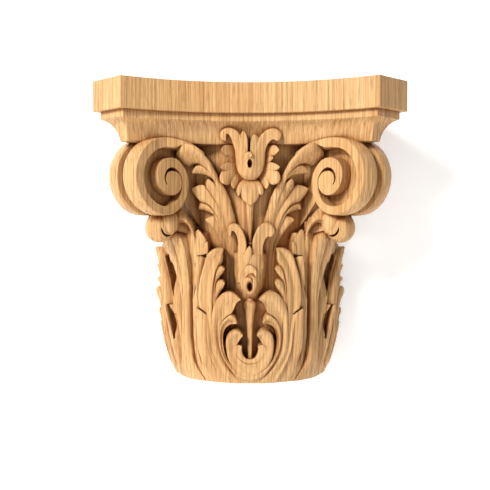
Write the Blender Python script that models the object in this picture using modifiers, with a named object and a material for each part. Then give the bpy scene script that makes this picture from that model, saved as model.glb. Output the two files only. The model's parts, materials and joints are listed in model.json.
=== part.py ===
"""Carved Corinthian half capital: one block of wood, flat at the back, top and underside.

The work is laid out in column coordinates in millimetres: x to the right, f forward from the
column's axis, z up from the underside. The back plane holds the axis. Points on the carving are
given by their turn from the front (degrees), their height and their distance from the axis.
"""

import math

import bmesh
import bpy
from mathutils import Matrix, Vector

MM = 0.001

# Overall sizes, mm
HEIGHT = 297.0
DEPTH = 150.0
AXIS_Y = 75.0
CORNER_TURN = 45.0

# Abacus: corner half width, sag of each concave side, and (height, inset) down its moulding, mm
ABACUS_CORNER = 118.2
ABACUS_SAG = 36.8
ABACUS_LEVELS = (
    (297.0, 0.0),
    (267.7, 0.0),
    (267.7, 5.6),
    (260.2, 5.6),
    (258.6, 9.5),
    (255.0, 14.0),
    (250.0, 17.2),
    (245.0, 19.2),
    (239.5, 20.0),
)
ARC_STEPS = 10

# Bell behind the carving: height, radius, mm
BELL = ((-4.0, 74.0), (60.0, 74.0), (130.0, 75.0), (175.0, 77.0), (210.0, 81.0), (245.0, 87.0))
BELL_STEPS = 24

# Front of the leaves and of the fronds: height, radius, mm
LEAF = (
    (-4.0, 81.5),
    (0.0, 82.7),
    (12.0, 87.0),
    (27.0, 91.0),
    (39.0, 94.0),
    (56.0, 97.0),
    (83.0, 100.0),
    (110.0, 101.5),
    (136.0, 102.0),
    (160.0, 104.0),
)
FROND = (
    (110.0, 84.0),
    (145.0, 84.5),
    (170.0, 88.0),
    (190.0, 94.0),
    (207.0, 101.5),
    (220.0, 109.0),
    (231.0, 119.5),
)

# Leaf blade under the lobes: height, half span in degrees, depth below the leaf's front
BLADE = (
    (-4.0, 47.0, 0.0),
    (6.0, 47.0, 1.0),
    (23.0, 47.0, 4.5),
    (30.0, 36.0, 6.0),
    (60.0, 26.0, 10.0),
    (120.0, 18.0, 12.0),
    (152.0, 13.0, 10.0),
)
BLADE_STEPS = 6
BLADE_ROOT = 68.0

# Middle rib of the leaf: height, width, mm
RIB = (
    (-4.0, 44.0),
    (0.0, 40.0),
    (14.0, 25.0),
    (30.0, 17.0),
    (57.0, 19.5),
    (88.0, 26.0),
    (125.0, 28.0),
    (158.0, 26.0),
)
RIB_EDGE_DROP = 6.0
RIB_LEAN = ((115.0, 0.0), (135.0, 2.0), (158.0, 10.0))

# Lobes of the leaf on one side of its rib: width, lift off the leaf's front, lift at the tip, and
# (turn from the front, height) from root to tip
LEAF_LOBES = (
    (10.0, -7.0, 3.0, ((38.6, 40.0), (37.4, 94.0), (36.0, 130.0), (32.4, 155.5))),
    (9.0, -7.0, 1.0, ((33.6, 60.0), (31.5, 110.0), (29.5, 130.0), (27.0, 144.0))),
    (9.5, 0.0, 1.0, ((30.4, 50.0), (30.3, 84.8), (30.3, 109.8), (29.8, 129.5))),
    (9.5, 0.5, 1.0, ((21.0, -4.0), (27.6, 24.0), (30.4, 52.0), (29.4, 77.5))),
    (14.0, 0.0, 1.5, ((15.5, -4.0), (24.4, 40.0), (24.0, 88.0), (16.6, 137.0))),
    (9.0, 0.0, 0.5, ((21.5, 70.0), (21.0, 90.0), (18.4, 106.0), (13.8, 117.0))),
    (9.0, 0.0, 0.5, ((22.0, 55.0), (21.8, 75.0), (19.0, 91.0), (13.6, 101.5))),
    (13.5, 1.0, 1.0, ((7.0, -4.0), (19.4, 30.0), (19.4, 64.0), (6.0, 86.5))),
    (9.5, 1.5, 0.0, ((2.0, -4.0), (14.6, 26.0), (16.6, 54.0), (7.5, 64.0))),
)
LOBE_ROOT_RADIUS = 66.0
# Shares of a lobe's length at which its sections stand, and how wide each one is
LOBE_SECTIONS = ((0.0, 0.65), (0.35, 0.85), (0.68, 1.0), (0.9, 0.95), (1.0, 0.5))
SHORT_LOBE_SECTIONS = ((0.0, 0.8), (0.4, 0.95), (0.82, 1.0), (1.0, 0.45))
SHORT_LOBE = 75.0
LOBE_CREST = 2.2

# Loops that join two neighbouring leaves below the middle of a face, in the same terms, tip to middle
LEAF_LOOPS = (
    (9.0, 0.0, ((5.5, 50.0), (12.8, 43.0), (10.6, 21.0), (0.0, 10.0))),
    (7.5, -1.0, ((6.0, 40.0), (8.6, 34.0), (5.6, 23.5), (0.0, 18.5))),
)
LOOP_SECTIONS = ((0.0, 0.42), (0.13, 0.95), (0.4, 1.0), (0.7, 1.0), (1.0, 1.0))

# Lobes of the frond that rises beside the middle to the volute, in the same terms
FROND_LOBES = (
    (9.0, 0.0, 2.0, ((13.0, 90.0), (12.4, 160.0), (20.0, 211.0), (33.0, 230.0))),
    (8.0, 0.0, 1.0, ((17.0, 190.0), (20.5, 205.0), (25.5, 213.5), (29.0, 214.0))),
    (9.0, 0.0, 1.0, ((13.6, 150.0), (16.6, 174.0), (20.5, 192.0), (24.2, 204.5))),
    (10.0, -0.5, 1.0, ((15.0, 145.0), (19.5, 170.0), (25.0, 187.0), (30.8, 196.0))),
    (9.0, -1.0, 0.0, ((16.0, 140.0), (20.5, 163.0), (25.5, 177.0), (30.5, 182.5))),
    (8.0, -1.0, 1.0, ((16.6, 105.0), (18.2, 132.0), (22.0, 152.0), (27.8, 165.5))),
)
FROND_ROOT_RADIUS = 68.0

# Rolled tip of the leaf below the volute: reach and height of its middle, and half sizes, mm
TIP_REACH = 125.0
TIP_HEIGHT = 157.0
TIP_HALF_REACH = 15.0
TIP_HALF_WIDTH = 18.0
TIP_HALF_HEIGHT = 15.0
SIDE_TIP_TURN = 7.6
SIDE_TIP_REACH = 121.0
SIDE_TIP_HEIGHT = 160.5
SIDE_TIP_HALF_SIZES = (10.0, 7.0, 10.0)
TIP_GRID = (10, 7)
SIDE_TIP_GRID = (6, 5)
# Hood over the hollows beside the rib: turn from the corner, outer radius, heights of its lip and top
HOOD = (
    (4.0, 116.0, 163.0, 176.0),
    (8.0, 116.0, 162.5, 176.0),
    (12.0, 111.0, 160.5, 172.0),
    (15.5, 103.0, 153.0, 158.0),
)
HOOD_ROOT = 70.0
HOOD_LIP = 8.0
HOOD_LIP_RISE = 2.0
HOOD_SHOULDER = 9.0
HOOD_BROW = 0.4
HOOD_ROOT_DROP = 6.0

# Volute, mm; the plane of its scroll holds the column's axis and the corner
VOLUTE_HALF_THICKNESS = 21.95
VOLUTE_EYE_REACH = 127.0
VOLUTE_EYE_HEIGHT = 205.6
VOLUTE_RECESS = 13.7
VOLUTE_RIM_HALF_GROOVE = 6.0
VOLUTE_RIM_DEPTH = 9.0
VOLUTE_RIM_END = 20.0
VOLUTE_NECK = (70.0, 118.0, 178.0, 238.0, 10.0)
# Outer and inner edges of the scroll's band every 45 degrees, from its top outward and round to the eye
SCROLL_STEP = 45.0
SCROLL_OUTER = (
    37.1, 43.6, 46.0, 42.4, 35.7, 29.5, 19.6, 17.4, 18.9, 19.5,
    18.7, 17.5, 15.8, 12.5, 9.2, 7.3, 6.7, 8.0, 9.4, 10.0,
)
SCROLL_INNER = (29.2, 34.0, 36.3, 33.0, 26.6, 20.5, 10.4, 9.2, 10.3, 11.0, 11.4, 11.0)
SCROLL_START = -45.0
SCROLL_START_OUTER = 31.2
SCROLL_START_INNER = 23.5
SCROLL_END = 285.0
GROOVE_START = -30.0
GROOVE_END = 490.0
GROOVE_LEAST = 0.9
SCROLL_STATIONS = 17
GROOVE_STATIONS = 24
# How far cutters reach past the faces they cut
CUTTER_REACH = 8.0

# Flowers: axis distance f, cup (height, radius), hook and petal outlines in the face plane (x, z), mm
UPPER_FLOWER = {
    "axis": 92.0,
    "cup": ((204.0, 0.0), (206.0, 8.0), (213.0, 12.8), (226.0, 14.5), (240.0, 14.0), (249.0, 0.0)),
    "hook": ((-10.0, 226.0), (-13.0, 240.0), (-17.0, 250.0), (-21.5, 253.0), (-26.0, 249.5), (-24.5, 243.5)),
    "hook_half": (4.5, 4.5, 4.0, 3.4, 3.2, 2.6),
    "petal": ((-5.0, 226.0), (-5.5, 238.0), (-6.0, 250.0)),
    "petal_half": (6.0, 5.5, 1.6),
    "hole": (218.5, 2.3, 4.7),
    "curl": (228.0, 4.6),
    "reach": 106.0,
}
LOWER_FLOWER = {
    "axis": 77.0,
    "cup": ((82.0, 0.0), (84.0, 5.0), (92.0, 13.0), (101.0, 16.0), (129.5, 17.2), (132.0, 0.0)),
    "hook": ((-9.0, 120.0), (-8.0, 138.0), (-10.0, 148.0), (-14.5, 157.0), (-19.5, 156.5), (-20.5, 149.5)),
    "hook_half": (5.5, 5.2, 4.6, 3.4, 3.0, 2.6),
    "petal": ((-7.0, 108.0), (-3.5, 124.0), (-1.0, 137.0)),
    "petal_half": (7.0, 5.5, 1.6),
    "hole": (98.5, 2.5, 4.7),
    "curl": (116.0, 5.4),
    "reach": 94.0,
}
CUP_STEPS = 8
HOOK_SET_BACK = 5.0
HOOK_HALF_DEPTH = 6.0
HOOK_STATIONS = 6
PETAL_SET_BACK = 6.0
PETAL_HALF_DEPTH = 5.0
PETAL_STATIONS = 4
CURL_SET_BACK = 2.0
SMALL_GRID = (6, 4)
EYE_HALF_DEPTH = 9.0
# Section of a ribbon: side and depth, as shares of its half sizes
RIBBON_SECTION = ((1.0, -1.0), (0.8, 0.8), (-0.8, 0.8), (-1.0, -1.0))
# Side leaves of the upper flower: half width and (x, z) from root to tip, then its hanging calyx
FLOWER_LEAVES = (
    (5.5, ((-8.0, 218.0), (-17.0, 228.0), (-26.5, 234.0))),
    (7.5, ((-4.0, 212.0), (-17.0, 210.0), (-27.0, 205.0))),
)
CALYX = (11.5, ((0.0, 208.0), (0.0, 196.0), (0.5, 179.5)))
FLOWER_LEAF_FRONT = 97.0
FLOWER_LEAF_HALF_DEPTH = 6.0
FLOWER_LEAF_STATIONS = 4
FLOWER_LEAF_FULLNESS = (0.7, 1.0, 0.25)
# Stems: height, half width, front
UPPER_STEM = ((130.0, 1.9, 82.0), (150.0, 2.2, 83.0), (178.0, 3.5, 88.0), (192.0, 4.0, 94.0))
LOWER_STEM = ((18.0, 1.9, 86.0), (52.0, 1.9, 86.0), (76.0, 5.2, 89.0), (86.0, 5.6, 90.0))
STEM_ROOT = 68.0

CUT_MARGIN = 20.0
# Facets this close to one plane, in degrees, are joined
MERGE_ANGLE = 2.0
SHARP_ANGLE = 30.0
OAK_COLOUR = (0.56, 0.34, 0.16, 1.0)
OAK_ROUGHNESS = 0.5


def interpolate(table, key):
    """Straight-line value from a table of (key, value) rows."""
    if key <= table[0][0]:
        return table[0][1]
    for (key_0, value_0), (key_1, value_1) in zip(table, table[1:]):
        if key <= key_1:
            return value_0 + (value_1 - value_0) * (key - key_0) / (key_1 - key_0)
    return table[-1][1]


def smooth_point(points, share):
    """Point at a share of the way along a smooth curve through the given ones."""
    points = [Vector(point) for point in points]
    ends = [points[0] * 2 - points[1]] + points + [points[-1] * 2 - points[-2]]
    place = share * (len(points) - 1)
    span = min(int(place), len(points) - 2)
    t = place - span
    a, b, c, d = ends[span:span + 4]
    value = 0.5 * ((2 * b) + (c - a) * t + (2 * a - 5 * b + 4 * c - d) * t ** 2)
    return value + 0.5 * (3 * b - a - 3 * c + d) * t ** 3


def column_point(turn, radius, height):
    """Column coordinates of a point given by its turn from the front."""
    angle = math.radians(turn)
    return Vector((radius * math.sin(angle), radius * math.cos(angle), height))


def corner_point(reach, across, height):
    """Column coordinates of a point in the frame of the right-hand corner."""
    half = math.sqrt(0.5)
    return Vector(((reach + across) * half, (reach - across) * half, height))


def add_solid(name, collection, verts, faces):
    """Object from column coordinates, with its faces turned outward."""
    mesh = bpy.data.meshes.new(name)
    mesh.from_pydata([(v[0] * MM, (AXIS_Y - v[1]) * MM, v[2] * MM) for v in verts], [], faces)
    bm = bmesh.new()
    bm.from_mesh(mesh)
    bmesh.ops.recalc_face_normals(bm, faces=bm.faces)
    bm.to_mesh(mesh)
    bm.free()
    obj = bpy.data.objects.new(name, mesh)
    collection.objects.link(obj)
    return obj


def loft(name, collection, rings):
    """Closed solid through rings that all have the same number of points."""
    size = len(rings[0])
    verts = [point for ring in rings for point in ring]
    faces = [tuple(range(size)), tuple(range(len(verts) - size, len(verts)))]
    for row in range(len(rings) - 1):
        for index in range(size):
            after = (index + 1) % size
            base = row * size
            faces.append((base + index, base + after, base + size + after, base + size + index))
    return add_solid(name, collection, verts, faces)


def prism(name, collection, outline, low, high):
    """Solid between two planes across the corner, from an outline of (reach, height)."""
    rings = [[corner_point(reach, across, height) for reach, height in outline] for across in (low, high)]
    return loft(name, collection, rings)


def strip_prism(name, collection, outer, inner, low, high):
    """Solid between two planes across the corner, from a strip between two lines."""
    rings = []
    for point_out, point_in in zip(outer, inner):
        rings.append([
            corner_point(point_out[0], low, point_out[1]),
            corner_point(point_out[0], high, point_out[1]),
            corner_point(point_in[0], high, point_in[1]),
            corner_point(point_in[0], low, point_in[1]),
        ])
    return loft(name, collection, rings)


def turned(name, collection, profile, axis, steps):
    """Solid of revolution about an upright line at distance axis in front of the column's axis."""
    mesh = bpy.data.meshes.new(name)
    verts = [(radius * MM, 0.0, height * MM) for height, radius in profile]
    mesh.from_pydata(verts, [(index, index + 1) for index in range(len(verts) - 1)], [])
    obj = bpy.data.objects.new(name, mesh)
    collection.objects.link(obj)
    screw = obj.modifiers.new("turn", 'SCREW')
    screw.axis = 'Z'
    screw.steps = steps
    screw.render_steps = steps
    screw.use_merge_vertices = True
    screw.merge_threshold = 0.00001
    bake(obj)
    obj.data.transform(Matrix.Translation((0.0, (AXIS_Y - axis) * MM, 0.0)))
    face_outward(obj.data)
    return obj


def bake(obj):
    """Replace an object's mesh by what its modifiers make of it."""
    graph = bpy.context.evaluated_depsgraph_get()
    mesh = bpy.data.meshes.new_from_object(obj.evaluated_get(graph))
    obj.modifiers.clear()
    obj.data = mesh


def face_outward(mesh):
    """Turn a closed mesh's faces outward."""
    bm = bmesh.new()
    bm.from_mesh(mesh)
    bmesh.ops.recalc_face_normals(bm, faces=bm.faces)
    bm.to_mesh(mesh)
    bm.free()


def copy_mirrored(obj, collection, matrix):
    """Copy of an object carried over by a matrix given in model coordinates."""
    other = bpy.data.objects.new(obj.name + "_copy", obj.data.copy())
    collection.objects.link(other)
    other.data.transform(matrix)
    if matrix.determinant() < 0:
        other.data.flip_normals()
    return other


def make_bell(collection):
    profile = ((BELL[0][0], 0.0),) + BELL + ((BELL[-1][0], 0.0),)
    return turned("bell", collection, profile, 0.0, BELL_STEPS)


def abacus_side(inset):
    """One concave side of the abacus from corner to corner, seen from above."""
    radius = (ABACUS_CORNER ** 2 + ABACUS_SAG ** 2) / (2 * ABACUS_SAG)
    centre = DEPTH - ABACUS_SAG + radius
    radius += inset
    gap = centre - (ABACUS_CORNER + DEPTH - inset * math.sqrt(2))
    corner = (math.sqrt(2 * radius ** 2 - gap ** 2) - gap) / 2
    reach = math.asin(corner / radius)
    angles = [reach * (2 * index / ARC_STEPS - 1) for index in range(ARC_STEPS + 1)]
    return [(radius * math.sin(angle), centre - radius * math.cos(angle)) for angle in angles]


def make_abacus(collection):
    rings = []
    for height, inset in ABACUS_LEVELS:
        ring = []
        for quarter in range(4):
            turn = math.radians(90.0 * quarter)
            for x, f in abacus_side(inset):
                turned_x = x * math.cos(turn) + f * math.sin(turn)
                turned_f = f * math.cos(turn) - x * math.sin(turn)
                ring.append((turned_x, turned_f, height))
        rings.append(ring)
    return loft("abacus", collection, rings)


def carved_strip(name, collection, path, halves, root, crest):
    """Strip through points of (turn, height, radius), reaching back into the bell."""
    centres = [column_point(turn, radius, height) for turn, height, radius in path]
    rings = []
    for index, (turn, height, _) in enumerate(path):
        run = centres[min(index + 1, len(path) - 1)] - centres[max(index - 1, 0)]
        outward = column_point(turn, 1.0, 0.0)
        side = run.cross(outward).normalized() * halves[index]
        ring = [centres[index] - side, centres[index] + side, column_point(turn, root, height)]
        if crest:
            ring.insert(1, centres[index] + outward * crest)
        rings.append(ring)
    return loft(name, collection, rings)


def make_lobe(name, collection, surface, root, crest, lobe):
    """Lobe of a leaf that follows a surface from root to tip."""
    width, lift, tip_lift, points = lobe
    path = []
    halves = []
    sections = SHORT_LOBE_SECTIONS if points[-1][1] - points[0][1] < SHORT_LOBE else LOBE_SECTIONS
    for share, fullness in sections:
        turn, height = smooth_point(points, share)
        radius = interpolate(surface, height) + lift + (tip_lift - lift) * share ** 3
        path.append((turn, height, radius))
        halves.append(0.5 * width * fullness)
    return carved_strip(name, collection, path, halves, root, crest)


def make_loop(collection, loop):
    """Loop of leaf across the middle of a face, from one tip to the other."""
    width, lift, points = loop
    half_path = []
    for share, fullness in LOOP_SECTIONS:
        turn, height = smooth_point(points, share)
        half_path.append((turn, height, interpolate(LEAF, height) + lift, 0.5 * width * fullness))
    rows = half_path[:-1] + [(-turn, height, radius, half) for turn, height, radius, half in reversed(half_path)]
    halves = [row[3] for row in rows]
    return carved_strip("loop", collection, [row[:3] for row in rows], halves, LOBE_ROOT_RADIUS, 0.0)


def make_blade(collection):
    rings = []
    for height, span, depth in BLADE:
        outer = interpolate(LEAF, height) - depth
        turns = [CORNER_TURN + span * (2 * index / BLADE_STEPS - 1) for index in range(BLADE_STEPS + 1)]
        ring = [column_point(turn, outer, height) for turn in turns]
        ring += [column_point(turn, BLADE_ROOT, height) for turn in (turns[-1], CORNER_TURN, turns[0])]
        rings.append(ring)
    return loft("blade", collection, rings)


def make_rib(collection):
    rings = []
    for height, width in RIB:
        radius = interpolate(LEAF, height) + interpolate(RIB_LEAN, height)
        half = 0.5 * width
        rings.append([
            corner_point(radius - RIB_EDGE_DROP, -half, height),
            corner_point(radius, -0.5 * half, height),
            corner_point(radius, 0.5 * half, height),
            corner_point(radius - RIB_EDGE_DROP, half, height),
            corner_point(BLADE_ROOT, 0.5 * half, height),
            corner_point(BLADE_ROOT, -0.5 * half, height),
        ])
    return loft("rib", collection, rings)


def make_round(name, collection, centre, across_turn, sizes, grid):
    """Ball with half sizes outward, across and upward, set at a turn from the front."""
    segments, rows = grid
    bm = bmesh.new()
    bmesh.ops.create_uvsphere(bm, u_segments=segments, v_segments=rows, radius=1.0)
    outward = column_point(across_turn, 1.0, 0.0)
    across = column_point(across_turn + 90.0, 1.0, 0.0)
    verts = []
    for vert in bm.verts:
        offset = outward * (vert.co.x * sizes[0]) + across * (vert.co.y * sizes[1])
        verts.append(centre + offset + Vector((0.0, 0.0, vert.co.z * sizes[2])))
    faces = [[vert.index for vert in face.verts] for face in bm.faces]
    bm.free()
    return add_solid(name, collection, verts, faces)


def make_leaf_tip(collection):
    tip_sizes = (TIP_HALF_REACH, TIP_HALF_WIDTH, TIP_HALF_HEIGHT)
    tip_centre = corner_point(TIP_REACH, 0.0, TIP_HEIGHT)
    parts = [make_round("tip", collection, tip_centre, CORNER_TURN, tip_sizes, TIP_GRID)]
    for sign in (-1, 1):
        turn = CORNER_TURN + sign * SIDE_TIP_TURN
        centre = column_point(turn, SIDE_TIP_REACH, SIDE_TIP_HEIGHT)
        parts.append(make_round("side_tip", collection, centre, turn, SIDE_TIP_HALF_SIZES, SIDE_TIP_GRID))
    sections = [(-row[0],) + row[1:] for row in reversed(HOOD)] + list(HOOD)
    rings = []
    for turn, outer, lip, top in sections:
        place = CORNER_TURN + turn
        rings.append([
            column_point(place, HOOD_ROOT, lip - HOOD_ROOT_DROP),
            column_point(place, HOOD_ROOT, top),
            column_point(place, outer - HOOD_SHOULDER, top),
            column_point(place, outer, lip + HOOD_BROW * (top - lip)),
            column_point(place, outer - 1.0, lip),
            column_point(place, outer - HOOD_LIP, lip + HOOD_LIP_RISE),
        ])
    parts.append(loft("hood", collection, rings))
    return parts


def scroll_radius(table, start_value, turn):
    """Distance of a scroll edge from the eye at a turn round it."""
    rows = [(SCROLL_START, start_value)] + [(index * SCROLL_STEP, value) for index, value in enumerate(table)]
    return interpolate_smooth(rows, turn)


def interpolate_smooth(table, key):
    """Smooth value from a table of evenly or unevenly spaced (key, value) rows."""
    for index in range(len(table) - 1):
        if key <= table[index + 1][0] or index == len(table) - 2:
            break
    key_1, value_1 = table[index]
    key_2, value_2 = table[index + 1]
    value_0 = table[max(index - 1, 0)][1]
    value_3 = table[min(index + 2, len(table) - 1)][1]
    t = (key - key_1) / (key_2 - key_1)
    slope_1 = (value_2 - value_0) / 2
    slope_2 = (value_3 - value_1) / 2
    rise = value_2 - value_1
    square = 3 * rise - 2 * slope_1 - slope_2
    cube = slope_1 + slope_2 - 2 * rise
    return value_1 + slope_1 * t + square * t ** 2 + cube * t ** 3


def scroll_point(radius, turn):
    angle = math.radians(turn)
    return (VOLUTE_EYE_REACH + radius * math.sin(angle), VOLUTE_EYE_HEIGHT + radius * math.cos(angle))


def outer_edge(turn):
    return scroll_radius(SCROLL_OUTER, SCROLL_START_OUTER, turn)


def inner_edge(turn):
    return scroll_radius(SCROLL_INNER, SCROLL_START_INNER, turn)


def stepped(low, high, count):
    return [low + (high - low) * index / (count - 1) for index in range(count)]


def make_volute(collection, cutters):
    turns = stepped(SCROLL_START, SCROLL_END, SCROLL_STATIONS)
    outline = [scroll_point(outer_edge(turn), turn) for turn in turns]
    disc = prism("volute", collection, outline, -VOLUTE_HALF_THICKNESS, VOLUTE_HALF_THICKNESS)

    rim_turns = stepped(SCROLL_START + VOLUTE_RIM_END, SCROLL_END - VOLUTE_RIM_END, SCROLL_STATIONS - 2)
    strip_prism(
        "rim_groove",
        cutters,
        [scroll_point(outer_edge(turn) + CUTTER_REACH, turn) for turn in rim_turns],
        [scroll_point(outer_edge(turn) - VOLUTE_RIM_DEPTH, turn) for turn in rim_turns],
        -VOLUTE_RIM_HALF_GROOVE,
        VOLUTE_RIM_HALF_GROOVE,
    )
    groove_turns = stepped(GROOVE_START, GROOVE_END, GROOVE_STATIONS)
    outer = [scroll_point(inner_edge(turn), turn) for turn in groove_turns]
    inner = []
    for turn in groove_turns:
        radius = min(outer_edge(turn + 360.0), inner_edge(turn) - GROOVE_LEAST)
        inner.append(scroll_point(radius, turn))
    floor = VOLUTE_HALF_THICKNESS - VOLUTE_RECESS
    beyond = VOLUTE_HALF_THICKNESS + CUTTER_REACH
    strip_prism("groove", cutters, outer, inner, floor, beyond)
    strip_prism("groove", cutters, outer, inner, -beyond, -floor)
    cut(disc, cutters, 'DIFFERENCE')

    near, far, low, high, half = VOLUTE_NECK
    neck = prism("neck", collection, [(near, low), (far, low), (far, high), (near, high)], -half, half)
    return [disc, neck]


def cut(obj, operands, operation):
    """Boolean of an object with a whole collection."""
    step = obj.modifiers.new("shape", 'BOOLEAN')
    step.operation = operation
    step.solver = 'EXACT'
    step.operand_type = 'COLLECTION'
    step.collection = operands
    step.use_self = False
    bake(obj)


def make_ribbon(name, collection, path, halves, front, half_depth, count):
    """Curling petal drawn in the face plane, thick from front to back."""
    rows = [(x, z, half) for (x, z), half in zip(path, halves)]
    points = [smooth_point(rows, index / (count - 1)) for index in range(count)]
    rings = []
    for index, (x, z, half) in enumerate(points):
        before = points[max(index - 1, 0)]
        after = points[min(index + 1, count - 1)]
        run = Vector((after[0] - before[0], after[1] - before[1])).normalized()
        across = Vector((-run[1], run[0]))
        ring = []
        for side, depth in RIBBON_SECTION:
            reach = half * side
            ring.append((x + across[0] * reach, front + half_depth * depth, z + across[1] * reach))
        rings.append(ring)
    return loft(name, collection, rings)


def make_flower(collection, flower):
    """Tulip-shaped flower: a cup with two curled outer petals."""
    parts = [turned("cup", collection, flower["cup"], flower["axis"], CUP_STEPS)]
    front = flower["reach"] - HOOK_SET_BACK
    for sign in (-1, 1):
        hook = [(-sign * x, z) for x, z in flower["hook"]]
        halves = flower["hook_half"]
        parts.append(make_ribbon("hook", collection, hook, halves, front, HOOK_HALF_DEPTH, HOOK_STATIONS))
    return parts


def make_flower_heart(collection, cutters, flower):
    """Inner petals, curl and pierced eye in front of a flower's cup."""
    reach = flower["reach"]
    for sign in (-1, 1):
        petal = [(-sign * x, z) for x, z in flower["petal"]]
        front = reach - PETAL_SET_BACK
        make_ribbon("petal", collection, petal, flower["petal_half"], front, PETAL_HALF_DEPTH, PETAL_STATIONS)
    height, size = flower["curl"]
    curl_centre = Vector((0.0, reach - CURL_SET_BACK, height))
    make_round("curl", collection, curl_centre, 0.0, (size, size, size), SMALL_GRID)
    hole_height, half_x, half_z = flower["hole"]
    hole_centre = Vector((0.0, reach, hole_height))
    make_round("hole", cutters, hole_centre, 0.0, (EYE_HALF_DEPTH, half_x, half_z), SMALL_GRID)


def make_stem(collection, rows):
    """Upright stem, rounded in front and rooted in the bell."""
    rings = []
    for height, half, front in rows:
        rings.append([
            Vector((-half, STEM_ROOT, height)),
            Vector((-half, front - half, height)),
            Vector((0.0, front, height)),
            Vector((half, front - half, height)),
            Vector((half, STEM_ROOT, height)),
        ])
    return loft("stem", collection, rings)


def make_flower_leaf(name, collection, half_width, path, front):
    """Small leaf lying in the face plane."""
    halves = [half_width * value for value in FLOWER_LEAF_FULLNESS]
    return make_ribbon(name, collection, path, halves, front, FLOWER_LEAF_HALF_DEPTH, FLOWER_LEAF_STATIONS)


def keep_main_shell(mesh):
    """Fill closed hollows by dropping every shell but the largest."""
    bm = bmesh.new()
    bm.from_mesh(mesh)
    waiting = set(bm.faces)
    shells = []
    while waiting:
        frontier = [waiting.pop()]
        shell = list(frontier)
        while frontier:
            face = frontier.pop()
            for edge in face.edges:
                for other in edge.link_faces:
                    if other in waiting:
                        waiting.remove(other)
                        frontier.append(other)
                        shell.append(other)
        shells.append(shell)
    shells.sort(key=len)
    for shell in shells[:-1]:
        bmesh.ops.delete(bm, geom=shell, context='FACES')
    loose = [vert for vert in bm.verts if not vert.link_faces]
    bmesh.ops.delete(bm, geom=loose, context='VERTS')
    bm.to_mesh(mesh)
    bm.free()


def build():
    for obj in list(bpy.data.objects):
        bpy.data.objects.remove(obj)
    pieces = bpy.data.collections.new("corinthian_capital")
    parts = bpy.data.collections.new("carving")
    cutters = bpy.data.collections.new("cutters")
    holes = bpy.data.collections.new("holes")
    block = bpy.data.collections.new("block")
    for collection in (pieces, parts, cutters, holes, block):
        bpy.context.scene.collection.children.link(collection)
    for collection in (cutters, holes, block):
        collection.hide_render = True

    mirror_x = Matrix.Diagonal((-1.0, 1.0, 1.0, 1.0))
    # Swap of x and f about the plane through the axis and the right-hand corner
    shift = AXIS_Y * MM
    swap = Matrix((
        (0.0, -1.0, 0.0, shift),
        (-1.0, 0.0, 0.0, shift),
        (0.0, 0.0, 1.0, 0.0),
        (0.0, 0.0, 0.0, 1.0),
    ))

    wedge = [
        make_lobe("lobe", parts, LEAF, LOBE_ROOT_RADIUS, LOBE_CREST, lobe) for lobe in LEAF_LOBES
    ] + [
        make_lobe("frond", parts, FROND, FROND_ROOT_RADIUS, 0.0, lobe) for lobe in FROND_LOBES
    ]
    for obj in list(wedge):
        wedge.append(copy_mirrored(obj, parts, swap))
    wedge += [make_blade(parts), make_rib(parts)] + make_leaf_tip(parts) + make_volute(parts, cutters)
    for obj in wedge:
        copy_mirrored(obj, parts, mirror_x)

    face = make_flower(parts, UPPER_FLOWER) + make_flower(parts, LOWER_FLOWER)
    face += [make_stem(parts, UPPER_STEM), make_stem(parts, LOWER_STEM)]
    face += [make_loop(parts, loop) for loop in LEAF_LOOPS]
    for obj in face:
        right = copy_mirrored(obj, parts, swap)
        copy_mirrored(right, parts, mirror_x)
    for flower in (UPPER_FLOWER, LOWER_FLOWER):
        make_flower_heart(parts, holes, flower)
    for half_width, path in FLOWER_LEAVES:
        for sign in (-1, 1):
            side_path = [(x * sign, z) for x, z in path]
            make_flower_leaf("leaf", parts, half_width, side_path, FLOWER_LEAF_FRONT)
    make_flower_leaf("calyx", parts, CALYX[0], CALYX[1], FLOWER_LEAF_FRONT)

    make_abacus(parts)
    capital = make_bell(pieces)
    capital.name = "capital"
    cut(capital, parts, 'UNION')
    cut(capital, holes, 'DIFFERENCE')

    # Flat underside and back
    far = DEPTH + CUT_MARGIN
    corners = ((-far, 0.0), (far, 0.0), (far, far), (-far, far))
    loft("block", block, [[(x, f, height) for x, f in corners] for height in (0.0, HEIGHT + CUT_MARGIN)])
    cut(capital, block, 'INTERSECT')

    for collection in (parts, cutters, holes, block):
        for obj in list(collection.objects):
            bpy.data.objects.remove(obj)
        bpy.data.collections.remove(collection)

    keep_main_shell(capital.data)
    bm = bmesh.new()
    bm.from_mesh(capital.data)
    bmesh.ops.dissolve_limit(bm, angle_limit=math.radians(MERGE_ANGLE), verts=bm.verts, edges=bm.edges)
    bmesh.ops.triangulate(bm, faces=bm.faces)
    bm.to_mesh(capital.data)
    bm.free()
    print("triangles", len(capital.data.polygons))

    oak = bpy.data.materials.new("oak")
    oak.use_nodes = True
    shader = oak.node_tree.nodes["Principled BSDF"]
    shader.inputs["Base Color"].default_value = OAK_COLOUR
    shader.inputs["Roughness"].default_value = OAK_ROUGHNESS
    capital.data.materials.clear()
    capital.data.materials.append(oak)
    capital.data.shade_smooth()
    capital.data.set_sharp_from_angle(angle=math.radians(SHARP_ANGLE))


build()
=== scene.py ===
"""Carved oak half capital: fine carving, oak, a pale floor and wall, studio light and the camera.

The carving is laid out in column coordinates in millimetres: x to the right, f forward from the
column's axis, z up from the underside. Points on the leaves are given by their turn from the front
(degrees) and their height, and a table gives how far the leaves' front stands from the axis there.
"""

import json
import math

import bmesh
import bpy
import numpy as np
from mathutils import Matrix, Vector

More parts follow.
